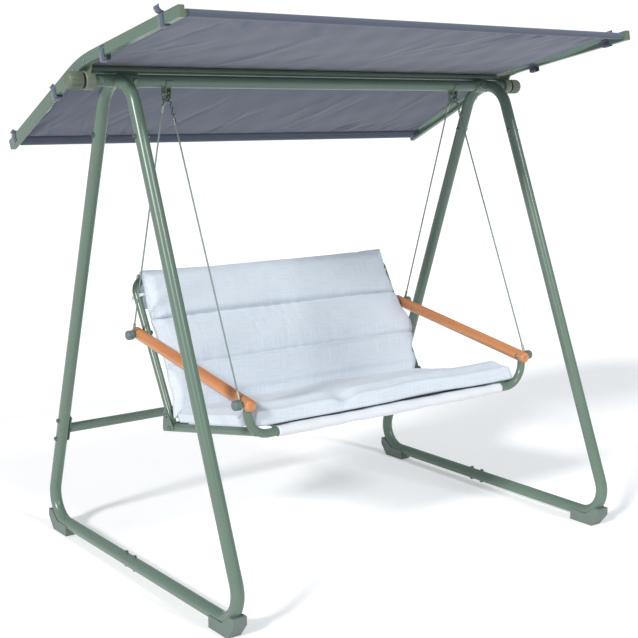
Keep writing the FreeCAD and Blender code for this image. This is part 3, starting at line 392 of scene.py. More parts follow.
def sheet_piece(name, places, flats):
    """Cloth from a grid of places, rows x columns x 3, and its flat places, rows x columns x 2."""
    faces = grid_faces(*places.shape[:2])
    return new_piece(name, places.reshape(-1, 3), faces, flats.reshape(-1, 2)[faces.ravel()])


def thicken(piece, thickness):
    """Gives a sheet its real thickness, half to each side."""
    modifier = piece.modifiers.new("cloth thickness", "SOLIDIFY")
    modifier.thickness = thickness
    modifier.offset = 0.0
    return piece


def mount(piece, body, material):
    piece.data.materials.clear()
    piece.data.materials.append(material)
    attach(piece, body)
    return piece


# %% [markdown]
# ## Folds
# Tight cloth still shows folds, where a strap or a seam pulls harder than the cloth beside it. Each
# fold here is a soft ridge along a short line, highest in its middle and gone at its ends. A generator
# with a fixed seed draws the lines, so every run makes the same cloth.


# %% Fold helper
def fold_height(across, along, folds):
    """The rise of a sheet at flat places (across, along). A fold is start, heading, length, width, rise."""
    height = np.zeros(np.broadcast(across, along).shape)
    for start_across, start_along, heading, length, width, rise in folds:
        from_start = across - start_across, along - start_along
        run = from_start[0] * math.cos(heading) + from_start[1] * math.sin(heading)
        off = from_start[1] * math.cos(heading) - from_start[0] * math.sin(heading)
        share = np.clip(run / length, 0.0, 1.0)
        height += rise * np.sin(math.pi * share) * np.exp(-((off / width) ** 2))
    return height


# %% [markdown]
# ## Stitches
# Seams are sewn with a row of equal stitches. That is a repeat along a path, so Geometry Nodes make it:
# the path becomes a curve, the curve becomes evenly spaced points, and each point gets one small stitch
# that is turned along the seam. Realize Instances makes them real, and Set Material gives the thread its
# finish. The result is kept as a plain mesh.


# %% A node tree that sews along a path
def sewing_tree(material):
    """Spacing, Stitch Length and Thread Radius are its inputs, in metres."""
    tree = bpy.data.node_groups.new("row of stitches", "GeometryNodeTree")
    tree.interface.new_socket("Seam", in_out="INPUT", socket_type="NodeSocketGeometry")
    sizes = {}
    for name, size in (("Spacing", 0.008), ("Stitch Length", 0.005), ("Thread Radius", 0.0006)):
        sizes[name] = tree.interface.new_socket(name, in_out="INPUT", socket_type="NodeSocketFloat")
        sizes[name].default_value = size
    tree.interface.new_socket("Stitches", in_out="OUTPUT", socket_type="NodeSocketGeometry")
    add, link = tree.nodes.new, tree.links.new
    start, end = add("NodeGroupInput"), add("NodeGroupOutput")
    path = add("GeometryNodeMeshToCurve")
    link(start.outputs["Seam"], path.inputs["Mesh"])
    spots = add("GeometryNodeCurveToPoints")
    spots.mode = "LENGTH"
    link(path.outputs["Curve"], spots.inputs["Curve"])
    link(start.outputs["Spacing"], spots.inputs["Length"])
    bead = add("GeometryNodeMeshUVSphere")
    bead.inputs["Segments"].default_value = 6
    bead.inputs["Rings"].default_value = 4
    bead.inputs["Radius"].default_value = 1.0
    size = add("ShaderNodeCombineXYZ")
    half = add("ShaderNodeMath")
    half.operation = "MULTIPLY"
    half.inputs[1].default_value = 0.5
    link(start.outputs["Stitch Length"], half.inputs[0])
    link(start.outputs["Thread Radius"], size.inputs["X"])
    link(start.outputs["Thread Radius"], size.inputs["Y"])
    link(half.outputs[0], size.inputs["Z"])
    sew = add("GeometryNodeInstanceOnPoints")
    link(spots.outputs["Points"], sew.inputs["Points"])
    link(bead.outputs["Mesh"], sew.inputs["Instance"])
    link(spots.outputs["Rotation"], sew.inputs["Rotation"])
    link(size.outputs["Vector"], sew.inputs["Scale"])
    real = add("GeometryNodeRealizeInstances")
    shaded = add("GeometryNodeSetShadeSmooth")
    dressed = add("GeometryNodeSetMaterial")
    dressed.inputs["Material"].default_value = material
    link(sew.outputs["Instances"], real.inputs["Geometry"])
    link(real.outputs["Geometry"], shaded.inputs["Geometry"])
    link(shaded.outputs["Geometry"], dressed.inputs["Geometry"])
    link(dressed.outputs["Geometry"], end.inputs["Stitches"])
    return tree, sizes


def sewn(name, seams, material, sizes):
    """A plain mesh of stitches along each seam, a list of points."""
    points, edges = [], []
    for seam in seams:
        first = len(points)
        points.extend(np.asarray(seam, float).tolist())
        edges.extend((number, number + 1) for number in range(first, len(points) - 1))
    paths = bpy.data.meshes.new(name)
    paths.from_pydata(points, edges, [])
    source = bpy.data.objects.new(name + "_path", paths)
    bpy.context.scene.collection.objects.link(source)
    tree, sockets = sewing_tree(material)
    modifier = source.modifiers.new("stitches", "NODES")
    modifier.node_group = tree
    for label, value in sizes.items():
        modifier[sockets[label].identifier] = value
    ready = source.evaluated_get(bpy.context.evaluated_depsgraph_get())
    mesh = bpy.data.meshes.new_from_object(ready)
    bpy.data.objects.remove(source)
    piece = bpy.data.objects.new(name, mesh)
    bpy.context.scene.collection.objects.link(piece)
    print(name, len(mesh.polygons), "faces")
    return piece


SEAM = {"Spacing": 0.0085, "Stitch Length": 0.0056, "Thread Radius": 0.00055}

# %% [markdown]
# ## The roof cloth
# The roof is one sheet. It is sewn into a sleeve round the front bar, runs over the ridge bar and ends in
# a sleeve round the rear bar. It could be simulated, but a cloth this tight barely sags, and what shows
# is where it is pulled: long shallow folds from front to back, short puckers along the hems, and side
# edges that curve in between the straps. So the line is drawn exactly and the folds are added by rule.

# %% The roof's bars and its line
CANOPY_THICKNESS = 0.0012


def bar_centre(node):
    low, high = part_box(node)
    return np.array([(low.y + high.y) / 2, (low.z + high.z) / 2])


def bar_radius(node):
    low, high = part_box(node)
    return (high.z - low.z) / 2


front_bar, ridge, rear_bar = (bar_centre(n) for n in ("front_canopy_bar", "ridge_bar", "rear_canopy_bar"))
edge_reach = bar_radius("front_canopy_bar") + 0.0009
ridge_reach = bar_radius("ridge_bar") + 0.0009
front_run, rear_run = unit(ridge - front_bar), unit(rear_bar - ridge)
HEM_START = 0.024
hem_drop = edge_reach - 0.0018
roof_line = [front_bar + HEM_START * front_run + hem_drop * left_of(front_run)]
roof_line += arc_round(front_bar, edge_reach, front_run, 320.0, 90.0)
roof_line += arc_round(ridge, ridge_reach, front_run, 90.0, 90.0 - math.degrees(
    math.acos(np.clip(front_run @ rear_run, -1, 1))), 3.0)
roof_line += arc_round(rear_bar, edge_reach, rear_run, 90.0, -140.0)
roof_line += [rear_bar - HEM_START * rear_run + hem_drop * left_of(rear_run)]
roof_points, roof_reach = evenly(roof_line, 0.009)
print("roof line", round(roof_reach[-1], 3), "m,", len(roof_points), "rows")

# %% Sag, folds and hems of the roof
ROOF_HALF = -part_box("canopy_fabric")[0].x
draw = np.random.default_rng(11)


def mark_above(bar, reach, run):
    """How far along the roof's line its point above a bar lies."""
    return roof_reach[np.argmin(np.linalg.norm(roof_points - (bar + reach * left_of(run)), axis=1))]


front_mark = mark_above(front_bar, edge_reach, front_run)
ridge_mark = mark_above(ridge, ridge_reach, front_run)
rear_mark = mark_above(rear_bar, edge_reach, rear_run)


def roof_folds():
    """Long folds between the bars, and puckers that fan out from the hems near the corners."""
    folds = []
    for low, high, count in ((front_mark, ridge_mark, 22), (ridge_mark, rear_mark, 20)):
        depth = high - low
        for _ in range(count):
            across = draw.uniform(-ROOF_HALF, ROOF_HALF * 0.8)
            lean = math.radians(draw.uniform(96, 128))
            length = draw.uniform(0.35, 0.85) * depth
            start = low + draw.uniform(0.05, 0.55) * depth
            width, rise = draw.uniform(0.009, 0.02), draw.uniform(-0.0032, 0.0032)
            folds.append((across, start, lean, length, width, rise))
    for hem, inward in ((front_mark + 0.03, 1), (rear_mark - 0.03, -1)):
        for side in (-1, 1):
            for number in range(9):
                across = side * (ROOF_HALF - 0.05 - 0.055 * number - draw.uniform(0, 0.02))
                lean = math.radians(inward * (90 + side * inward * draw.uniform(18, 40)))
                length = draw.uniform(0.09, 0.22)
                width, rise = draw.uniform(0.007, 0.011), draw.uniform(0.0026, 0.0052)
                rise *= draw.choice([-1, 1])
                folds.append((across, hem - 0.02 * inward, lean, length, width, rise))
    return folds


across = np.linspace(-ROOF_HALF, ROOF_HALF, 301)[None, :]
along = roof_reach[:, None]
front_share = np.clip((along - front_mark) / (ridge_mark - front_mark), 0, 1)
rear_share = np.clip((along - ridge_mark) / (rear_mark - ridge_mark), 0, 1)
leaves_front = smooth_step(along, front_mark + 0.02, front_mark + 0.06)
meets_ridge = smooth_step(along, ridge_mark - 0.05, ridge_mark - 0.01)
leaves_ridge = smooth_step(along, ridge_mark + 0.015, ridge_mark + 0.06)
meets_rear = smooth_step(along, rear_mark - 0.06, rear_mark - 0.02)
loose = leaves_front * (1 - meets_ridge) + leaves_ridge * (1 - meets_rear)
held = np.cos(across / ROOF_HALF * math.pi / 2) ** 0.5
sag = -0.011 * np.sin(math.pi * front_share) - 0.008 * np.sin(math.pi * rear_share)
ripple = 0.0014 * np.sin(across * 23 + along * 9) * np.sin(along * 17 + 1.3)
ripple = ripple + 0.001 * np.sin(across * 51 - along * 13)
rise = loose * (sag * (0.35 + 0.65 * held) + ripple + fold_height(across, along, roof_folds()))

# %% Build the roof
STRAP_MARKS = [front_mark + 0.083, front_mark + 0.436, ridge_mark + 0.178, rear_mark - 0.027]


def pull_in(reach):
    """How far the free side edge curves in between the places where a strap holds it."""
    stops = [0.0, *STRAP_MARKS, roof_reach[-1]]
    pull = np.zeros_like(reach)
    for low, high in zip(stops, stops[1:]):
        share = np.clip((reach - low) / (high - low), 0, 1)
        pull = np.maximum(pull, min(0.016, 0.05 * (high - low)) * np.sin(math.pi * share))
    return pull


normals = upward(roof_points)
columns = across.shape[1]
edge_pull = pull_in(roof_reach)[:, None] * np.abs(across / ROOF_HALF) ** 6
roof_places = np.empty((len(roof_points), columns, 3))
roof_places[..., 0] = across - np.sign(across) * edge_pull
roof_places[..., 1] = roof_points[:, 0][:, None] + normals[:, 0][:, None] * rise
roof_places[..., 2] = roof_points[:, 1][:, None] + normals[:, 1][:, None] * rise
roof_flats = np.stack(np.broadcast_arrays(across, along), axis=-1)
roof = thicken(sheet_piece("canopy_roof", roof_places, roof_flats), CANOPY_THICKNESS)
mount(roof, "canopy", paints["canopy_cloth"])
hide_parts("canopy_fabric")
print("roof", len(roof.data.polygons), "quads")

# %% Sew the roof's hems
normal_3d = np.stack([np.zeros(len(normals)), normals[:, 0], normals[:, 1]], axis=1)


def roof_seam(row, side):
    """A line of points across the roof, just off the cloth's face."""
    return roof_places[row] + normal_3d[row] * side * (CANOPY_THICKNESS / 2 + 0.0002)


def row_at(reach):
    return int(np.argmin(np.abs(roof_reach - reach)))


seams = []
for mark in (front_mark + 0.022, front_mark + 0.028, rear_mark - 0.022, rear_mark - 0.028):
    seams += [roof_seam(row_at(mark), 1)[2:-2], roof_seam(row_at(mark), -1)[2:-2]]
for column in (4, columns - 5):
    for side in (-1, 1):
        line = roof_places[:, column] + normal_3d * side * (CANOPY_THICKNESS / 2 + 0.0002)
        seams.append(line[row_at(front_mark + 0.03):row_at(rear_mark - 0.03)])
roof_stitches = sewn("canopy_stitches", seams, thread_dark, SEAM)
mount(roof_stitches, "canopy", thread_dark)

# %% [markdown]
# ## Straps on the canopy arms
# Eight short straps hold the roof's sides to the arms. Each is one tape: it leaves the cloth's edge, goes
# once round the arm with rounded corners, and its free end stands up a little where it is pressed shut,
# most of all on the front pair. A tape is flat, so it is drawn as a line round the arm and given its width
# along the arm.

# %% Tape helpers
TAPE_THICKNESS = 0.0014


def tape_grid(line, centre, direction, lift, half_width, rows=3):
    """A tape that follows a line of (x, up) points round centre, with its width along direction."""
    line = np.array(line)
    shifts = np.linspace(-half_width, half_width, rows)
    places = centre + line[:, None, 0:1] * np.array([1.0, 0, 0]) + line[:, None, 1:2] * lift
    places = places + shifts[None, :, None] * direction
    reach = np.concatenate([[0.0], np.cumsum(np.linalg.norm(np.diff(line, axis=0), axis=1))])
    flats = np.stack(np.broadcast_arrays(reach[:, None], shifts[None, :]), axis=-1)
    return places, flats


def rounded_loop(low_x, high_x, half_height, corner, turns=4):
    """Points of a rounded rectangle that starts and ends in the middle of its low_x side."""
    centres = ((low_x + corner, half_height - corner, 180), (high_x - corner, half_height - corner, 90),
               (high_x - corner, corner - half_height, 0), (low_x + corner, corner - half_height, -90))
    points = [(low_x, 0.0)]
    for x, up, start in centres:
        for angle in np.radians(np.linspace(start, start - 90, turns + 1)):
            points.append((x + corner * math.cos(angle), up + corner * math.sin(angle)))
    return points + [(low_x, 0.0)]


def joined(name, grids):
    """One piece from several cloth grids."""
    points, faces, flats = [], [], []
    for places, flat in grids:
        quads = grid_faces(*places.shape[:2])
        faces.append(quads + sum(len(part) for part in points))
        points.append(places.reshape(-1, 3))
        flats.append(flat.reshape(-1, 2)[quads.ravel()])
    return new_piece(name, np.vstack(points), np.vstack(faces), np.vstack(flats))


# %% Make the straps
ARM_HALF_HEIGHT = 0.0165
STRAP_HALF_WIDTH = 0.015
arm_low, arm_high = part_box("right_canopy_arm")
strap_low, strap_high = arm_low.x - 0.0016, arm_high.x + 0.0016
strap_grids = []
for mark in STRAP_MARKS:
    row = row_at(mark)
    run = front_run if mark < ridge_mark else rear_run
    direction, lift = np.array([0.0, *run]), np.array([0.0, *left_of(run)])
    drop = 0.0095 if mark < ridge_mark else 0.006
    for side in (-1, 1):
        centre = np.array([0.0, *roof_places[row, 0][1:]]) - lift * drop
        edge = ROOF_HALF - 0.012
        loop = rounded_loop(strap_low, strap_high, ARM_HALF_HEIGHT + 0.0016, 0.005)
        web = [(edge, drop), (ROOF_HALF - 0.003, drop), (strap_low, drop - 0.002)]
        web += [(strap_low - 0.0004, 0.0)]
        tail = [(strap_high - 0.016, 0.0196), (strap_high - 0.006, 0.0203)]
        if mark == STRAP_MARKS[0]:
            tail += [(strap_high + 0.003, 0.024), (strap_high + 0.008, 0.031), (strap_high + 0.008, 0.04)]
        else:
            tail += [(strap_high + 0.001, 0.0235), (strap_high + 0.002, 0.028)]
        for line in (loop, web, tail):
            line = [(side * x, up) for x, up in line]
            strap_grids.append(tape_grid(line, centre, direction, lift, STRAP_HALF_WIDTH))
straps = thicken(joined("canopy_strap_loops", strap_grids), TAPE_THICKNESS)
mount(straps, "canopy", paints["canopy_cloth"])
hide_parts("canopy_straps")

# %% [markdown]
# ## The slings
# Under each cushion a strong cloth carries the load from bar to bar. It is made like the roof: one
# sheet, with a sleeve sewn round each bar. The front sleeve of the seat is the white band that is seen
# under the cushion. It sits loose on its tube, so it has faint creases along it.

# %% The seat's and the back's own axes
SEAT_RISE = math.radians(10.57)
BACK_LEAN = math.radians(28.9)
SEAT_CORNER = np.array([0.1347, 0.441])
seat_forward = np.array([-math.cos(SEAT_RISE), math.sin(SEAT_RISE)])
seat_up = np.array([math.sin(SEAT_RISE), math.cos(SEAT_RISE)])
back_up = np.array([math.sin(BACK_LEAN), math.cos(BACK_LEAN)])
back_ahead = np.array([-math.cos(BACK_LEAN), math.sin(BACK_LEAN)])
SLING_THICKNESS = 0.001
tube_radius = 0.014

# %% Make a sling
def sling_piece(name, line, half_width, sag, crease_rows):
    """A sling from its side-view line. crease_rows says how strongly each row is creased."""
    points, reach = evenly(line, 0.006)
    x = np.linspace(-half_width, half_width, 161)[None, :]
    normal = upward(points)
    loose_rows = crease_rows(points)[:, None]
    sway = 0.0011 * np.sin(x * 19 + 2.0) + 0.0007 * np.sin(x * 57 + reach[:, None] * 60)
    height = loose_rows * sway + sag * np.sin(math.pi * reach[:, None] / reach[-1]) * (1 - loose_rows)
    places = np.empty((len(points), x.shape[1], 3))
    places[..., 0] = x
    places[..., 1] = points[:, 0][:, None] + normal[:, 0][:, None] * height
    places[..., 2] = points[:, 1][:, None] + normal[:, 1][:, None] * height
    flats = np.stack(np.broadcast_arrays(x, reach[:, None]), axis=-1)
    piece = thicken(sheet_piece(name, places, flats), SLING_THICKNESS)
    mount(piece, "swing_seat", paints["sling_cloth"])
    return piece, places, float(reach[-1])


front_bar_yz = np.array([-0.376, 0.526])
rear_bar_yz = SEAT_CORNER - 0.048 * seat_forward
top_bar_yz = SEAT_CORNER + 0.555 * back_up
sling_run = unit(rear_bar_yz - front_bar_yz)
FRONT_REACH, BAR_REACH = 0.0172, 0.0152
seat_line = [front_bar_yz + 0.03 * sling_run + (FRONT_REACH - 0.0018) * left_of(sling_run)]
seat_line += arc_round(front_bar_yz, FRONT_REACH, sling_run, 325.0, 90.0)
seat_line += arc_round(rear_bar_yz, BAR_REACH, sling_run, 90.0, -140.0)
seat_line += [rear_bar_yz - 0.03 * sling_run + (BAR_REACH - 0.0018) * left_of(sling_run)]
back_line = [SEAT_CORNER + 0.04 * back_up + BAR_REACH * back_ahead]
back_line += arc_round(top_bar_yz, BAR_REACH, back_up, 90.0, -140.0)
back_line += [top_bar_yz - 0.03 * back_up + (BAR_REACH - 0.0018) * back_ahead]


def near_front_bar(points):
    return 1 - smooth_step(np.linalg.norm(points - front_bar_yz, axis=1), 0.02, 0.06)


def near_hem(points):
    return 1 - smooth_step(np.linalg.norm(points - back_line[0], axis=1), 0.01, 0.05)


SLING_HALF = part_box("seat_sling")[1].x
BACK_SLING_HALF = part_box("back_sling")[1].x
seat_cloth, seat_places, seat_length = sling_piece(
    "seat_sling_cloth", seat_line, SLING_HALF, -0.002, near_front_bar)
back_cloth, back_places, back_length = sling_piece(
    "back_sling_cloth", back_line, BACK_SLING_HALF, -0.001, near_hem)
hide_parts("seat_sling")
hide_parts("back_sling")


def just_off(places, row, gap=0.0008):
    """A seam line that lies on a sling's outer face at one row."""
    slope = unit(places[row + 1, 0] - places[row - 1, 0])
    out = np.array([0.0, -slope[2], slope[1]])
    return places[row] + out * gap


sling_seams = [just_off(seat_places, 16), just_off(seat_places, len(seat_places) - 14),
               just_off(back_places, len(back_places) - 16), just_off(back_places, 2)]
sling_stitches = sewn("sling_stitches", sling_seams, pale_thread_and_seam_shade, SEAM)
mount(sling_stitches, "swing_seat", pale_thread_and_seam_shade)
print("slings", round(seat_length, 3), round(back_length, 3))

# %% [markdown]
# ## The cushions
# The back cushion is one long pad with two sewn channels, and the seat cushion has one channel behind a
# thick front roll. A sewn pad gets its shape from pressure: the fill pushes the cover out, and the seams
# hold it in. So each pad starts as a slim block whose surface is a fine grid, its channel rows and its
# back are pinned, and a short cloth simulation blows the rest out. How far a point may move is capped.


# %% A block whose surface is a grid
def block_surface(counts):
    """Surface points of a box, as shares from 0 to 1 along three axes, and its quads, facing outwards."""
    numbers, points, quads = {}, [], []

    def corner(place):
        if place not in numbers:
            numbers[place] = len(points)
            points.append([place[axis] / counts[axis] for axis in range(3)])
        return numbers[place]

    for axis in range(3):
        first, second = [other for other in range(3) if other != axis]
        for end in (0, counts[axis]):
            flip = (end == 0) != (axis == 1)
            for p in range(counts[first]):
                for q in range(counts[second]):
                    quad = []
                    for step in ((0, 0), (1, 0), (1, 1), (0, 1)):
                        place = [0, 0, 0]
                        place[axis], place[first], place[second] = end, p + step[0], q + step[1]
                        quad.append(corner(tuple(place)))
                    quads.append(quad[::-1] if flip else quad)
    return np.array(points), np.array(quads)


# %% Inflate a pad
COVER_SLACK = -0.002
FILL_FRAMES = 20


def inflate(piece, pins, pressure, cap):
    """Runs a short cloth simulation under pressure and keeps its shape, with each move capped."""
    start = np.array([v.co for v in piece.data.vertices])
    group = piece.vertex_groups.new(name="held")
    for weight in np.unique(np.round(pins, 2)):
        group.add(np.flatnonzero(np.round(pins, 2) == weight).tolist(), float(weight), "REPLACE")
    cloth = piece.modifiers.new("fill", "CLOTH")
    settings = cloth.settings
    settings.quality = 4
    settings.mass = 0.3
    settings.tension_stiffness = settings.compression_stiffness = 12.0
    settings.shear_stiffness = 4.0
    settings.bending_stiffness = 0.6
    settings.air_damping = 4.0
    settings.shrink_min = COVER_SLACK
    settings.use_pressure = True
    settings.uniform_pressure_force = pressure
    settings.effector_weights.gravity = 0.0
    settings.vertex_group_mass = "held"
    cloth.collision_settings.use_self_collision = False
    cloth.point_cache.frame_start, cloth.point_cache.frame_end = 1, FILL_FRAMES
    for number in range(1, FILL_FRAMES + 1):
        bpy.context.scene.frame_set(number)
    ready = piece.evaluated_get(bpy.context.evaluated_depsgraph_get())
    moved = np.array([v.co for v in ready.data.vertices]) - start
    piece.modifiers.remove(cloth)
    bpy.context.scene.frame_set(1)
    length = np.linalg.norm(moved, axis=1)
    moved *= (np.minimum(length, cap) / np.maximum(length, 1e-9))[:, None]
    print(piece.name, "moved", np.round(np.percentile(length, [50, 100]) * 1000, 1), "mm")
    return start + moved


# %% Helpers for shaping a pad
def set_points(piece, places):
    piece.data.vertices.foreach_set("co", np.asarray(places, np.float32).ravel())
    piece.data.update()


def valley(value, centre, width):
    """1 at the centre, fading to 0 over about this width."""
    return np.exp(-(((value - centre) / width) ** 2))


def gather_rows(reach, channels, pull=0.6, width=0.02):
    """Moves rows of points closer together beside each channel, so that its crease is crisp."""
    for channel in channels:
        reach = reach - pull * (reach - channel) * valley(reach, channel, width)
    return reach


def side_line(height, stops, sides):
    """A smooth line through a few stops, such as the side of a cushion seen from the front."""
    line = np.full_like(height, sides[0])
    for number in range(1, len(stops)):
        rise = sides[number] - sides[number - 1]
        line = line + rise * smooth_step(height, stops[number - 1], stops[number])
    return line


# %% The back cushion before it is filled
PAD_CELL = 0.007
BACK_HALF = 0.545
BACK_FROM, BACK_TO = 0.022, 0.572
BACK_REAR, BACK_FACE = 0.0175, 0.052
BACK_CHANNELS = (0.208, 0.386)
CHANNEL_DEPTH = 0.007
SEAM_REACH = 0.0022
back_cells = (int(2 * BACK_HALF / PAD_CELL), int((BACK_TO - BACK_FROM) / PAD_CELL), 5)
shares, quads = block_surface(back_cells)
pad_x = (shares[:, 0] - 0.5) * 2 * BACK_HALF
pad_up = gather_rows(BACK_FROM + shares[:, 1] * (BACK_TO - BACK_FROM), BACK_CHANNELS)
edge_gap = np.minimum.reduce([BACK_HALF - np.abs(pad_x), pad_up - BACK_FROM, BACK_TO - pad_up])
crown = 1 - 0.35 * (1 - smooth_step(edge_gap, 0.0, 0.035))
channels = sum(valley(pad_up, channel, 0.006) for channel in BACK_CHANNELS)
face = BACK_REAR + (BACK_FACE - BACK_REAR) * crown - CHANNEL_DEPTH * channels
pad_ahead = BACK_REAR + shares[:, 2] * (face - BACK_REAR)
pins = np.zeros(len(shares))
for channel in BACK_CHANNELS:
    pins = np.maximum(pins, (np.abs(pad_up - channel) < SEAM_REACH) * (shares[:, 2] > 0.9))
pins = np.maximum(pins, (shares[:, 2] < 0.05) * (edge_gap > 0.03))


def back_places_of(x, up, ahead):
    yz = SEAT_CORNER + up[:, None] * back_up + ahead[:, None] * back_ahead
    return np.column_stack([x, yz])


back_flats = np.column_stack([pad_x, pad_up + pad_ahead])
back_pad = new_piece("back_cushion_pad", back_places_of(pad_x, pad_up, pad_ahead), quads,
                     back_flats[quads.ravel()])
print("back pad", len(quads), "quads")

# %% Fill the back cushion
BACK_PRESSURE, BACK_SWELL = 4.5, 0.012
filled = inflate(back_pad, pins, BACK_PRESSURE, BACK_SWELL)

# %% Creases at the sides of a pad
draw = np.random.default_rng(5)


def back_shares(places):
    """Across, up the back and ahead of it, for each point."""
    yz = places[:, 1:] - SEAT_CORNER
    return places[:, 0], yz @ back_up, yz @ back_ahead


def side_gathers(low, high, count, half, reach_in):
    """Short creases that run in from both side seams of a pad."""
    folds = []
    for side in (-1, 1):
        for _ in range(count):
            heading = (0.0 if side < 0 else math.pi) + draw.uniform(-0.7, 0.7)
            start, length = draw.uniform(low, high), draw.uniform(0.4, 1.0) * reach_in
            width, rise = draw.uniform(0.005, 0.009), draw.uniform(-0.0032, 0.0016)
            folds.append((side * (half + 0.004), start, heading, length, width, rise))
    return folds


# %% Finish the back cushion
# The pad hangs askew: its lower half has slipped to the right and bulges below the armrest.
SIDE_STOPS = (0.02, 0.12, 0.25, 0.335, 0.4, 0.57)
LEFT_SIDE = (-0.581, -0.566, -0.551, -0.556, -0.563, -0.557)
RIGHT_SIDE = (0.514, 0.560, 0.592, 0.564, 0.553, 0.542)
CLEAR_OF_FRAME = 0.0166
CLEAR_OF_SEAT, SEAT_ENDS_AT = 0.0565, (0.075, 0.13)
x, up, ahead = back_shares(filled)
on_face = smooth_step(ahead, 0.028, 0.045)
creases = fold_height(x, up, side_gathers(BACK_FROM, BACK_TO, 16, BACK_HALF, 0.14))
pucker = 0.0010 * np.sin(x * 95 + 3 * np.sin(x * 13))
channel_pucker = sum(valley(up, channel, 0.020) for channel in BACK_CHANNELS) * pucker
crease = 0.006 * sum(valley(up, channel, 0.0032) for channel in BACK_CHANNELS)
swell = 0.0022 * np.sin(x * 6.1 + up * 9) + 0.0015 * np.sin(x * 13.7 - up * 21 + 0.6)
ahead = ahead + on_face * (creases + channel_pucker + swell - crease)
crease_room = CLEAR_OF_SEAT + smooth_step(up, *SEAT_ENDS_AT) * 0.03
ahead = np.minimum(np.maximum(ahead, CLEAR_OF_FRAME), crease_room)
left_side = side_line(up, SIDE_STOPS, LEFT_SIDE)
right_side = side_line(up, SIDE_STOPS, RIGHT_SIDE)
x_share = 0.5 + 0.5 * x / np.abs(x).max()
x = left_side + x_share * (right_side - left_side)
set_points(back_pad, back_places_of(x, up, ahead))
mount(back_pad, "swing_seat", paints["cushion_cloth"])
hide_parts("back_cushion")

# %% [markdown]
# ## The seat cushion
# The seat pad lies on its sling from the back cushion to the front rail. Behind its front edge a channel
# makes a thick rounded roll. The roll is pinched where a tie pulls it down, and lifts beside it, so a
# dark gap shows above the white sleeve. It is filled in the same way as the back.

# %% The seat cushion before it is filled
SEAT_HALF = 0.545
SEAT_FROM, SEAT_TO = 0.004, 0.522
SEAT_FLOOR, SEAT_TOP, ROLL_TOP = 0.0185, 0.068, 0.089
ROLL_CHANNEL = 0.43
PINCH_X, LIFT_X = -0.2, 0.17
seat_cells = (int(2 * SEAT_HALF / PAD_CELL), int((SEAT_TO - SEAT_FROM) / PAD_CELL), 6)
shares, quads = block_surface(seat_cells)
seat_x = (shares[:, 0] - 0.5) * 2 * SEAT_HALF
seat_ahead = SEAT_FROM + shares[:, 1] * (SEAT_TO - SEAT_FROM)
edge_gap = np.minimum.reduce([SEAT_HALF - np.abs(seat_x), SEAT_TO - seat_ahead])
crown = 1 - 0.36 * (1 - smooth_step(edge_gap, 0.0, 0.04))
roll = smooth_step(seat_ahead, ROLL_CHANNEL, ROLL_CHANNEL + 0.035)
top = SEAT_FLOOR + (SEAT_TOP + (ROLL_TOP - SEAT_TOP) * roll - SEAT_FLOOR) * crown
top = top - 0.012 * valley(seat_ahead, ROLL_CHANNEL, 0.012)
settle = 0.006 * smooth_step(seat_ahead, 0.05, 0.4) * (1 - smooth_step(seat_ahead, 0.42, 0.48))
floor_line = SEAT_FLOOR - settle - 0.005 * smooth_step(seat_ahead, 0.45, 0.5) + 0.004 * (1 - crown)
seat_above = floor_line + shares[:, 2] * (top - floor_line)
pins = (np.abs(seat_ahead - ROLL_CHANNEL) < PAD_CELL * 0.55) * (shares[:, 2] > 0.9) * 1.0
pins = np.maximum(pins, (shares[:, 2] < 0.05) * (edge_gap > 0.03))
pins = np.maximum(pins, (shares[:, 1] < 0.01) * 1.0)
pins = np.maximum(pins, 0.95 * valley(seat_x, PINCH_X, 0.01) * (shares[:, 1] > 0.99))


def seat_places_of(x, forward, above):
    yz = SEAT_CORNER + forward[:, None] * seat_forward + above[:, None] * seat_up
    return np.column_stack([x, yz])


def behind_line(above):
    """Where the back cushion's face crosses this height, measured forward along the rail."""
    turn = SEAT_RISE + (math.pi / 2 - BACK_LEAN)
    return (0.057 - above * math.cos(turn)) / math.sin(turn)


seat_ahead = np.maximum(seat_ahead, behind_line(seat_above) * (1 - smooth_step(seat_ahead, 0.02, 0.2)))
seat_flats = np.column_stack([seat_x, seat_ahead + seat_above])
seat_pad = new_piece("seat_cushion_pad", seat_places_of(seat_x, seat_ahead, seat_above), quads,
                     seat_flats[quads.ravel()])
print("seat pad", len(quads), "quads")

# %% Fill the seat cushion
SEAT_PRESSURE, SEAT_SWELL = 5.0, 0.015
filled = inflate(seat_pad, pins, SEAT_PRESSURE, SEAT_SWELL)

# %% Finish the seat cushion
SEAT_SHIFT, SEAT_REACH, CORNER_ROUND = -0.0075, 0.5675, 0.022
CLEAR_OF_SLING, SLING_SLOPE, CLEAR_OF_RAIL = 0.0165, 0.0215, 0.016
yz = filled[:, 1:] - SEAT_CORNER
x, forward, above = filled[:, 0], yz @ seat_forward, yz @ seat_up
on_top = smooth_step(above, 0.03, 0.055)
on_front = smooth_step(forward, SEAT_TO - 0.03, SEAT_TO - 0.005)
creases = fold_height(x, forward, side_gathers(0.1, SEAT_TO, 12, SEAT_HALF, 0.12))
wave = 0.003 * np.sin(x * 7.3 + 1.0) + 0.0018 * np.sin(x * 17.1 + forward * 11)
above = above + on_top * (creases + wave)
above = above - 0.016 * on_top * valley(x, PINCH_X, 0.045) * smooth_step(forward, 0.46, 0.5)
pinch = valley(x, PINCH_X, 0.03) * valley(above, 0.075, 0.035)
front_wave = 0.0025 * np.sin(x * 11.0 + 0.4) + 0.0012 * np.sin(x * 29.0)
forward = forward - on_front * (0.016 * pinch + front_wave)
above = above + on_front * (1 - on_top) * 0.006 * valley(x, LIFT_X, 0.12)
corner = smooth_step(forward, 0.43, 0.53) * smooth_step(above, 0.02, 0.09)
x = SEAT_SHIFT + x / np.abs(x).max() * (SEAT_REACH - CORNER_ROUND * corner)
over_rail = smooth_step(np.abs(x), 0.535, 0.552)
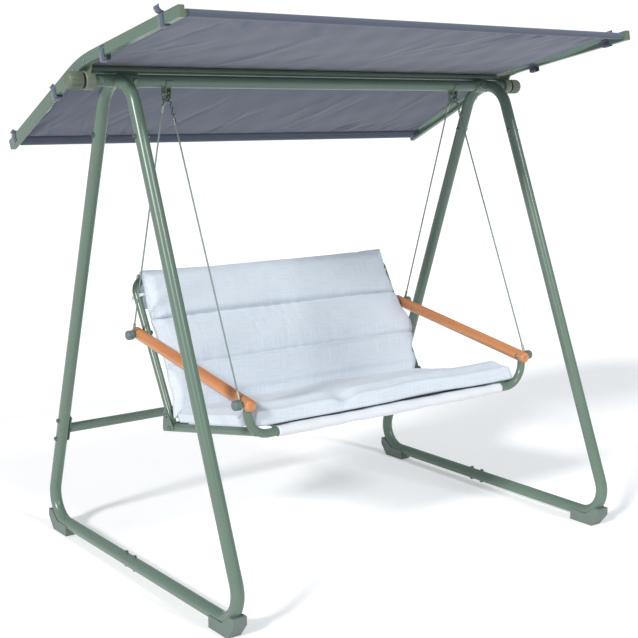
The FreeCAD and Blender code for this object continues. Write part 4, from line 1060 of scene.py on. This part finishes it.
lowest = np.maximum(CLEAR_OF_SLING - SLING_SLOPE * forward, CLEAR_OF_RAIL * over_rail)
above = np.maximum(above, lowest)
set_points(seat_pad, seat_places_of(x, forward, above))
mount(seat_pad, "swing_seat", paints["cushion_cloth"])
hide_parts("seat_cushion")

# %% [markdown]
# ## Channel seams, hood and ties
# Fine stitches run along each channel. They follow the filled cover, so their line is read from the
# pad's own points. A short hood hangs from the back cushion over the top bar and keeps it up. White
# tapes tie the pad to the stiles, and black ones hold its lower corners to the frame.


# %% Stitch the channels
def channel_line(piece, distance, depth, spread):
    """Points of a pad's cover along one channel: the outermost point of each column near the line."""
    places = np.array([v.co for v in piece.data.vertices])
    near = np.abs(distance - spread[0]) < spread[1]
    chosen = places[near & (depth > np.median(depth[near]))]
    chosen = chosen[np.argsort(chosen[:, 0])]
    return chosen[np.concatenate([[True], np.diff(chosen[:, 0]) > 0.003])]


channel_seams = []
_, back_height, back_depth = back_shares(np.array([v.co for v in back_pad.data.vertices]))
for channel in BACK_CHANNELS:
    line = channel_line(back_pad, back_height, back_depth, (channel, SEAM_REACH))
    channel_seams.append(line + np.array([0.0, *back_ahead]) * 0.0006)
roll_line = channel_line(seat_pad, forward, above, (ROLL_CHANNEL, PAD_CELL * 0.55))
channel_seams.append(roll_line + np.array([0.0, *seat_up]) * 0.0006)
# The thread's darker tone also paints some shade along the channel creases.
cushion_stitches = sewn("cushion_stitches", channel_seams, pale_thread_and_seam_shade, SEAM)
mount(cushion_stitches, "swing_seat", pale_thread_and_seam_shade)

# %% The hood behind the top bar
HOOD_HALF = 0.548
HOOD_DROP = 0.115
HOOD_REACH = 0.0178
hood_line = [SEAT_CORNER + 0.552 * back_up + 0.03 * back_ahead]
hood_line += arc_round(top_bar_yz, HOOD_REACH, back_up, 62.0, -(90.0 - math.degrees(BACK_LEAN)))
hang_from = hood_line[-1]
for share in np.linspace(0.1, 1.0, 8):
    hood_line.append(hang_from + np.array([0.004 * math.sin(share * 3.0), -HOOD_DROP * share]))
hood_points, hood_reach = evenly(hood_line, 0.007)
x = np.linspace(-HOOD_HALF, HOOD_HALF, 121)[None, :]
hanging = smooth_step(hood_reach, hood_reach[-1] - HOOD_DROP, hood_reach[-1])[:, None]
flare = hanging * (0.006 * np.sin(x * 21 + 1.0) + 0.004 * np.sin(x * 43))
hood_normal = upward(hood_points)
hood_places = np.empty((len(hood_points), x.shape[1], 3))
hood_places[..., 0] = x * (1 - 0.01 * hanging)
hood_places[..., 1] = hood_points[:, 0][:, None] + hood_normal[:, 0][:, None] * flare
hood_places[..., 2] = hood_points[:, 1][:, None] + hood_normal[:, 1][:, None] * flare
hood_flats = np.stack(np.broadcast_arrays(x, hood_reach[:, None]), axis=-1)
hood = thicken(sheet_piece("back_cushion_hood", hood_places, hood_flats), 0.001)
mount(hood, "swing_seat", paints["cushion_cloth"])


# %% Tapes that tie the pads to the frame
def ring_line(radius, gap=8.0):
    """A tape once round a tube, as (x, up) points."""
    angles = np.radians(np.linspace(gap / 2, 360 - gap / 2, 25))
    return [(radius * math.cos(angle), radius * math.sin(angle)) for angle in angles]


def tie_grids(up, ahead_lift, half_width, tail):
    """A tape round each stile at this height, with a web towards the pad and a hanging tail."""
    grids = []
    for side in (-1, 1):
        centre = np.array([side * STILE_X, *(SEAT_CORNER + up * back_up)])
        direction, lift = np.array([0.0, *back_up]), np.array([0.0, *back_ahead])
        web = [(0.0, tube_radius + 0.001), (-0.012, tube_radius + 0.003), (-0.034, ahead_lift)]
        hang = [(tube_radius + 0.001, 0.0), (tube_radius + 0.004, -0.008)]
        hang += [(tube_radius + 0.003, -0.008 - tail)]
        for line in (ring_line(tube_radius + 0.0009), web, hang):
            line = [(side * across, height) for across, height in line]
            grids.append(tape_grid(line, centre, direction, lift, half_width))
    return grids


STILE_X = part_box("back_frame")[1].x - 0.0197
white_ties = thicken(joined("cushion_ties", tie_grids(0.49, 0.026, 0.006, 0.012)), TAPE_THICKNESS * 0.8)
mount(white_ties, "swing_seat", paints["cushion_cloth"])
black_ties = thicken(joined("corner_ties", tie_grids(0.052, 0.03, 0.008, 0.022)), TAPE_THICKNESS)
mount(black_ties, "swing_seat", tie_black)

# %% [markdown]
# ## The suspension ropes
# Each rope is coated wire, pulled straight by the seat's weight, from its upper pressed sleeve to its
# lower one. Six strands wind round a core, and the coat follows them, so the surface is a tube with six
# soft lobes that turn once every few centimetres. Its centre line is a smooth spline between the ends of
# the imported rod.

# %% Rope helpers
ROPE_DIAMETER = 0.0055
ROPE_LAY = 0.034
STRANDS = 6


def rod_ends(node, radius):
    """The ends of a straight packed rod in the Y and Z plane, from its box and its radius."""
    low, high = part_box(node)
    depth, height = high.y - low.y, high.z - low.z
    lean = math.atan2(depth, height)
    for _ in range(4):
        lean = math.atan2(depth - 2 * radius * math.cos(lean), height - 2 * radius * math.sin(lean))
    inset_y, inset_z = radius * math.cos(lean), radius * math.sin(lean)
    x = (low.x + high.x) / 2
    top_y, foot_y = low.y + inset_y, high.y - inset_y
    if "front" in node:
        top_y, foot_y = foot_y, top_y
    return Vector((x, top_y, high.z - inset_z)), Vector((x, foot_y, low.z + inset_z))


def smooth_route(points, name):
    """Points read from a spline of order 3 with these control points."""
    data = bpy.data.curves.new(name, "CURVE")
    data.dimensions = "3D"
    spline = data.splines.new("NURBS")
    spline.points.add(len(points) - 1)
    for control, point in zip(spline.points, points):
        control.co = (*point, 1.0)
    spline.order_u = 3
    spline.use_endpoint_u = True
    spline.resolution_u = 60
    carrier = bpy.data.objects.new(name, data)
    bpy.context.scene.collection.objects.link(carrier)
    ready = carrier.evaluated_get(bpy.context.evaluated_depsgraph_get())
    line = np.array([v.co for v in bpy.data.meshes.new_from_object(ready).vertices])
    bpy.data.objects.remove(carrier)
    return line


def laid_rope(name, line, diameter, sides=24):
    """A tube with strand lobes along a straight line of points."""
    axis = unit(line[-1] - line[0])
    sideways = unit(np.cross(axis, [1.0, 0.0, 0.0]))
    other = np.cross(axis, sideways)
    length = float(np.linalg.norm(line[-1] - line[0]))
    rings = int(length / 0.0045)
    reach = np.linspace(0.0, length, rings)[:, None]
    angle = np.linspace(0.0, 2 * math.pi, sides, endpoint=False)[None, :]
    lobes = 0.5 + 0.5 * np.cos(STRANDS * (angle - 2 * math.pi * reach / ROPE_LAY / STRANDS))
    radius = diameter / 2 * (0.93 + 0.07 * lobes)
    places = line[0] + reach[..., None] * axis + (radius * np.cos(angle))[..., None] * sideways
    places = places + (radius * np.sin(angle))[..., None] * other
    numbers = np.arange(rings * sides).reshape(rings, sides)
    after = np.roll(numbers, -1, axis=1)
    faces = np.stack([numbers[:-1], after[:-1], after[1:], numbers[1:]], axis=-1).reshape(-1, 4).tolist()
    faces += [numbers[0][::-1].tolist(), numbers[-1].tolist()]
    mesh = bpy.data.meshes.new(name)
    mesh.from_pydata(places.reshape(-1, 3).tolist(), [], faces)
    mesh.polygons.foreach_set("use_smooth", [len(face) == 4 for face in faces])
    rope = bpy.data.objects.new(name, mesh)
    bpy.context.scene.collection.objects.link(rope)
    return rope


# %% Make the four ropes
for side in ("left", "right"):
    for end in ("front", "rear"):
        node = f"{side}_{end}_cable"
        top_end, foot_end = rod_ends(node, ROPE_DIAMETER / 2)
        line = smooth_route([top_end, top_end.lerp(foot_end, 0.5), foot_end], node + "_route")
        rope = mount(laid_rope(f"{side}_{end}_rope", line, ROPE_DIAMETER), "swing_seat",
                     paints["cable_coat"])
        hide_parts(node)
        print(node, round((top_end - foot_end).length, 3), "m")

# %% [markdown]
# ## Weld beads
# The hanger brackets are welded to the beam. A weld is a row of overlapping drops, so the stitch tree
# lays it too, with the spacing shorter than the drop. The beads are painted with the frame.

# %% Lay the welds
beam_low, beam_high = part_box("main_beam")
beam_y, beam_z = (beam_low.y + beam_high.y) / 2, (beam_low.z + beam_high.z) / 2
beam_radius = (beam_high.z - beam_low.z) / 2
hanger_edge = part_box("hanger_brackets")[1].x
BRACKET_HALF = 0.011
weld_lines = []
for side in (-1, 1):
    middle = side * (hanger_edge - BRACKET_HALF)
    for edge in (-1, 1):
        y = beam_y + edge * (beam_radius + 0.0012)
        stops = middle + np.linspace(-0.9, 0.9, 9) * BRACKET_HALF
        weld_lines.append([(x, y, beam_z + 0.0012) for x in stops])
WELD = {"Spacing": 0.0016, "Stitch Length": 0.0034, "Thread Radius": 0.0021}
welds = sewn("bracket_welds", weld_lines, paints["frame_paint"], WELD)
mount(welds, "stand", paints["frame_paint"])

# %% [markdown]
# ## Light, floor and camera
# Plain soft studio light: a soft key from the left, a weaker one from the front right, and a pale
# surround. The camera stands to the left of the bench at the height of the roof and looks slightly down,
# through a long lens, as a catalogue picture would.

# %% Surround
world = bpy.data.worlds.new("pale surround")
bpy.context.scene.world = world
world.use_nodes = True
background = world.node_tree.nodes["Background"]
surround = world.node_tree.nodes.new("ShaderNodeBackground")
surround.inputs["Color"].default_value = (1.0, 1.0, 1.0, 1.0)
surround.inputs["Strength"].default_value = 1.1
background.inputs["Color"].default_value = (0.9, 0.95, 1.0, 1.0)
background.inputs["Strength"].default_value = 0.46
seen = world.node_tree.nodes.new("ShaderNodeLightPath")
choose = world.node_tree.nodes.new("ShaderNodeMixShader")
join = world.node_tree.links.new
join(seen.outputs["Is Camera Ray"], choose.inputs[0])
join(background.outputs[0], choose.inputs[1])
join(surround.outputs[0], choose.inputs[2])
join(choose.outputs[0], world.node_tree.nodes["World Output"].inputs["Surface"])

# %% Floor
FLOOR_HALF = 40.0
corners = [(-FLOOR_HALF, -FLOOR_HALF, 0.0), (FLOOR_HALF, -FLOOR_HALF, 0.0), (FLOOR_HALF, FLOOR_HALF, 0.0),
           (-FLOOR_HALF, FLOOR_HALF, 0.0)]
floor = new_piece("studio_floor", corners, [[0, 1, 2, 3]], smooth=False)
floor.location.z = -0.0005
pale = Finish("pale floor")
floor.data.materials.append(pale.shade({
    "Base Color": (0.9, 0.9, 0.9, 1.0),
    "Roughness": 0.9,
    "Emission Color": (1.0, 1.0, 1.0, 1.0),
    "Emission Strength": 0.25,
}))


# %% Lights
def sun(name, azimuth, height, strength, spread, colour):
    """A soft distant light. Azimuth 0 shines from the front, and positive comes from the left."""
    data = bpy.data.lights.new(name, "SUN")
    data.energy = strength
    data.angle = math.radians(spread)
    data.color = colour
    lamp = bpy.data.objects.new(name, data)
    bpy.context.scene.collection.objects.link(lamp)
    turn, tilt = math.radians(azimuth), math.radians(height)
    towards = Vector((-math.sin(turn) * math.cos(tilt), -math.cos(turn) * math.cos(tilt), math.sin(tilt)))
    lamp.rotation_mode = "QUATERNION"
    lamp.rotation_quaternion = towards.to_track_quat("Z", "Y")
    return lamp


sun("key light", 70.0, 30.0, 2.5, 9.0, (1.0, 0.99, 0.97))
sun("second light", -10.0, 36.0, 1.0, 10.0, (0.97, 0.98, 1.0))

# %% Camera
EYE = Vector((-2.6120, -3.3922, 1.5316))
HEADING = math.radians(37.13)
PITCH = math.radians(9.95)
camera = bpy.data.objects.new("catalogue camera", bpy.data.cameras.new("catalogue camera"))
bpy.context.scene.collection.objects.link(camera)
camera.data.sensor_width = 36.0
camera.data.lens = 68.06
camera.data.clip_start, camera.data.clip_end = 0.1, 200.0
camera.location = EYE
look = Vector((math.sin(HEADING) * math.cos(PITCH), math.cos(HEADING) * math.cos(PITCH), -math.sin(PITCH)))
camera.rotation_mode = "QUATERNION"
camera.rotation_quaternion = look.to_track_quat("-Z", "Y")
bpy.context.scene.camera = camera
bpy.context.scene.view_settings.view_transform = "Standard"
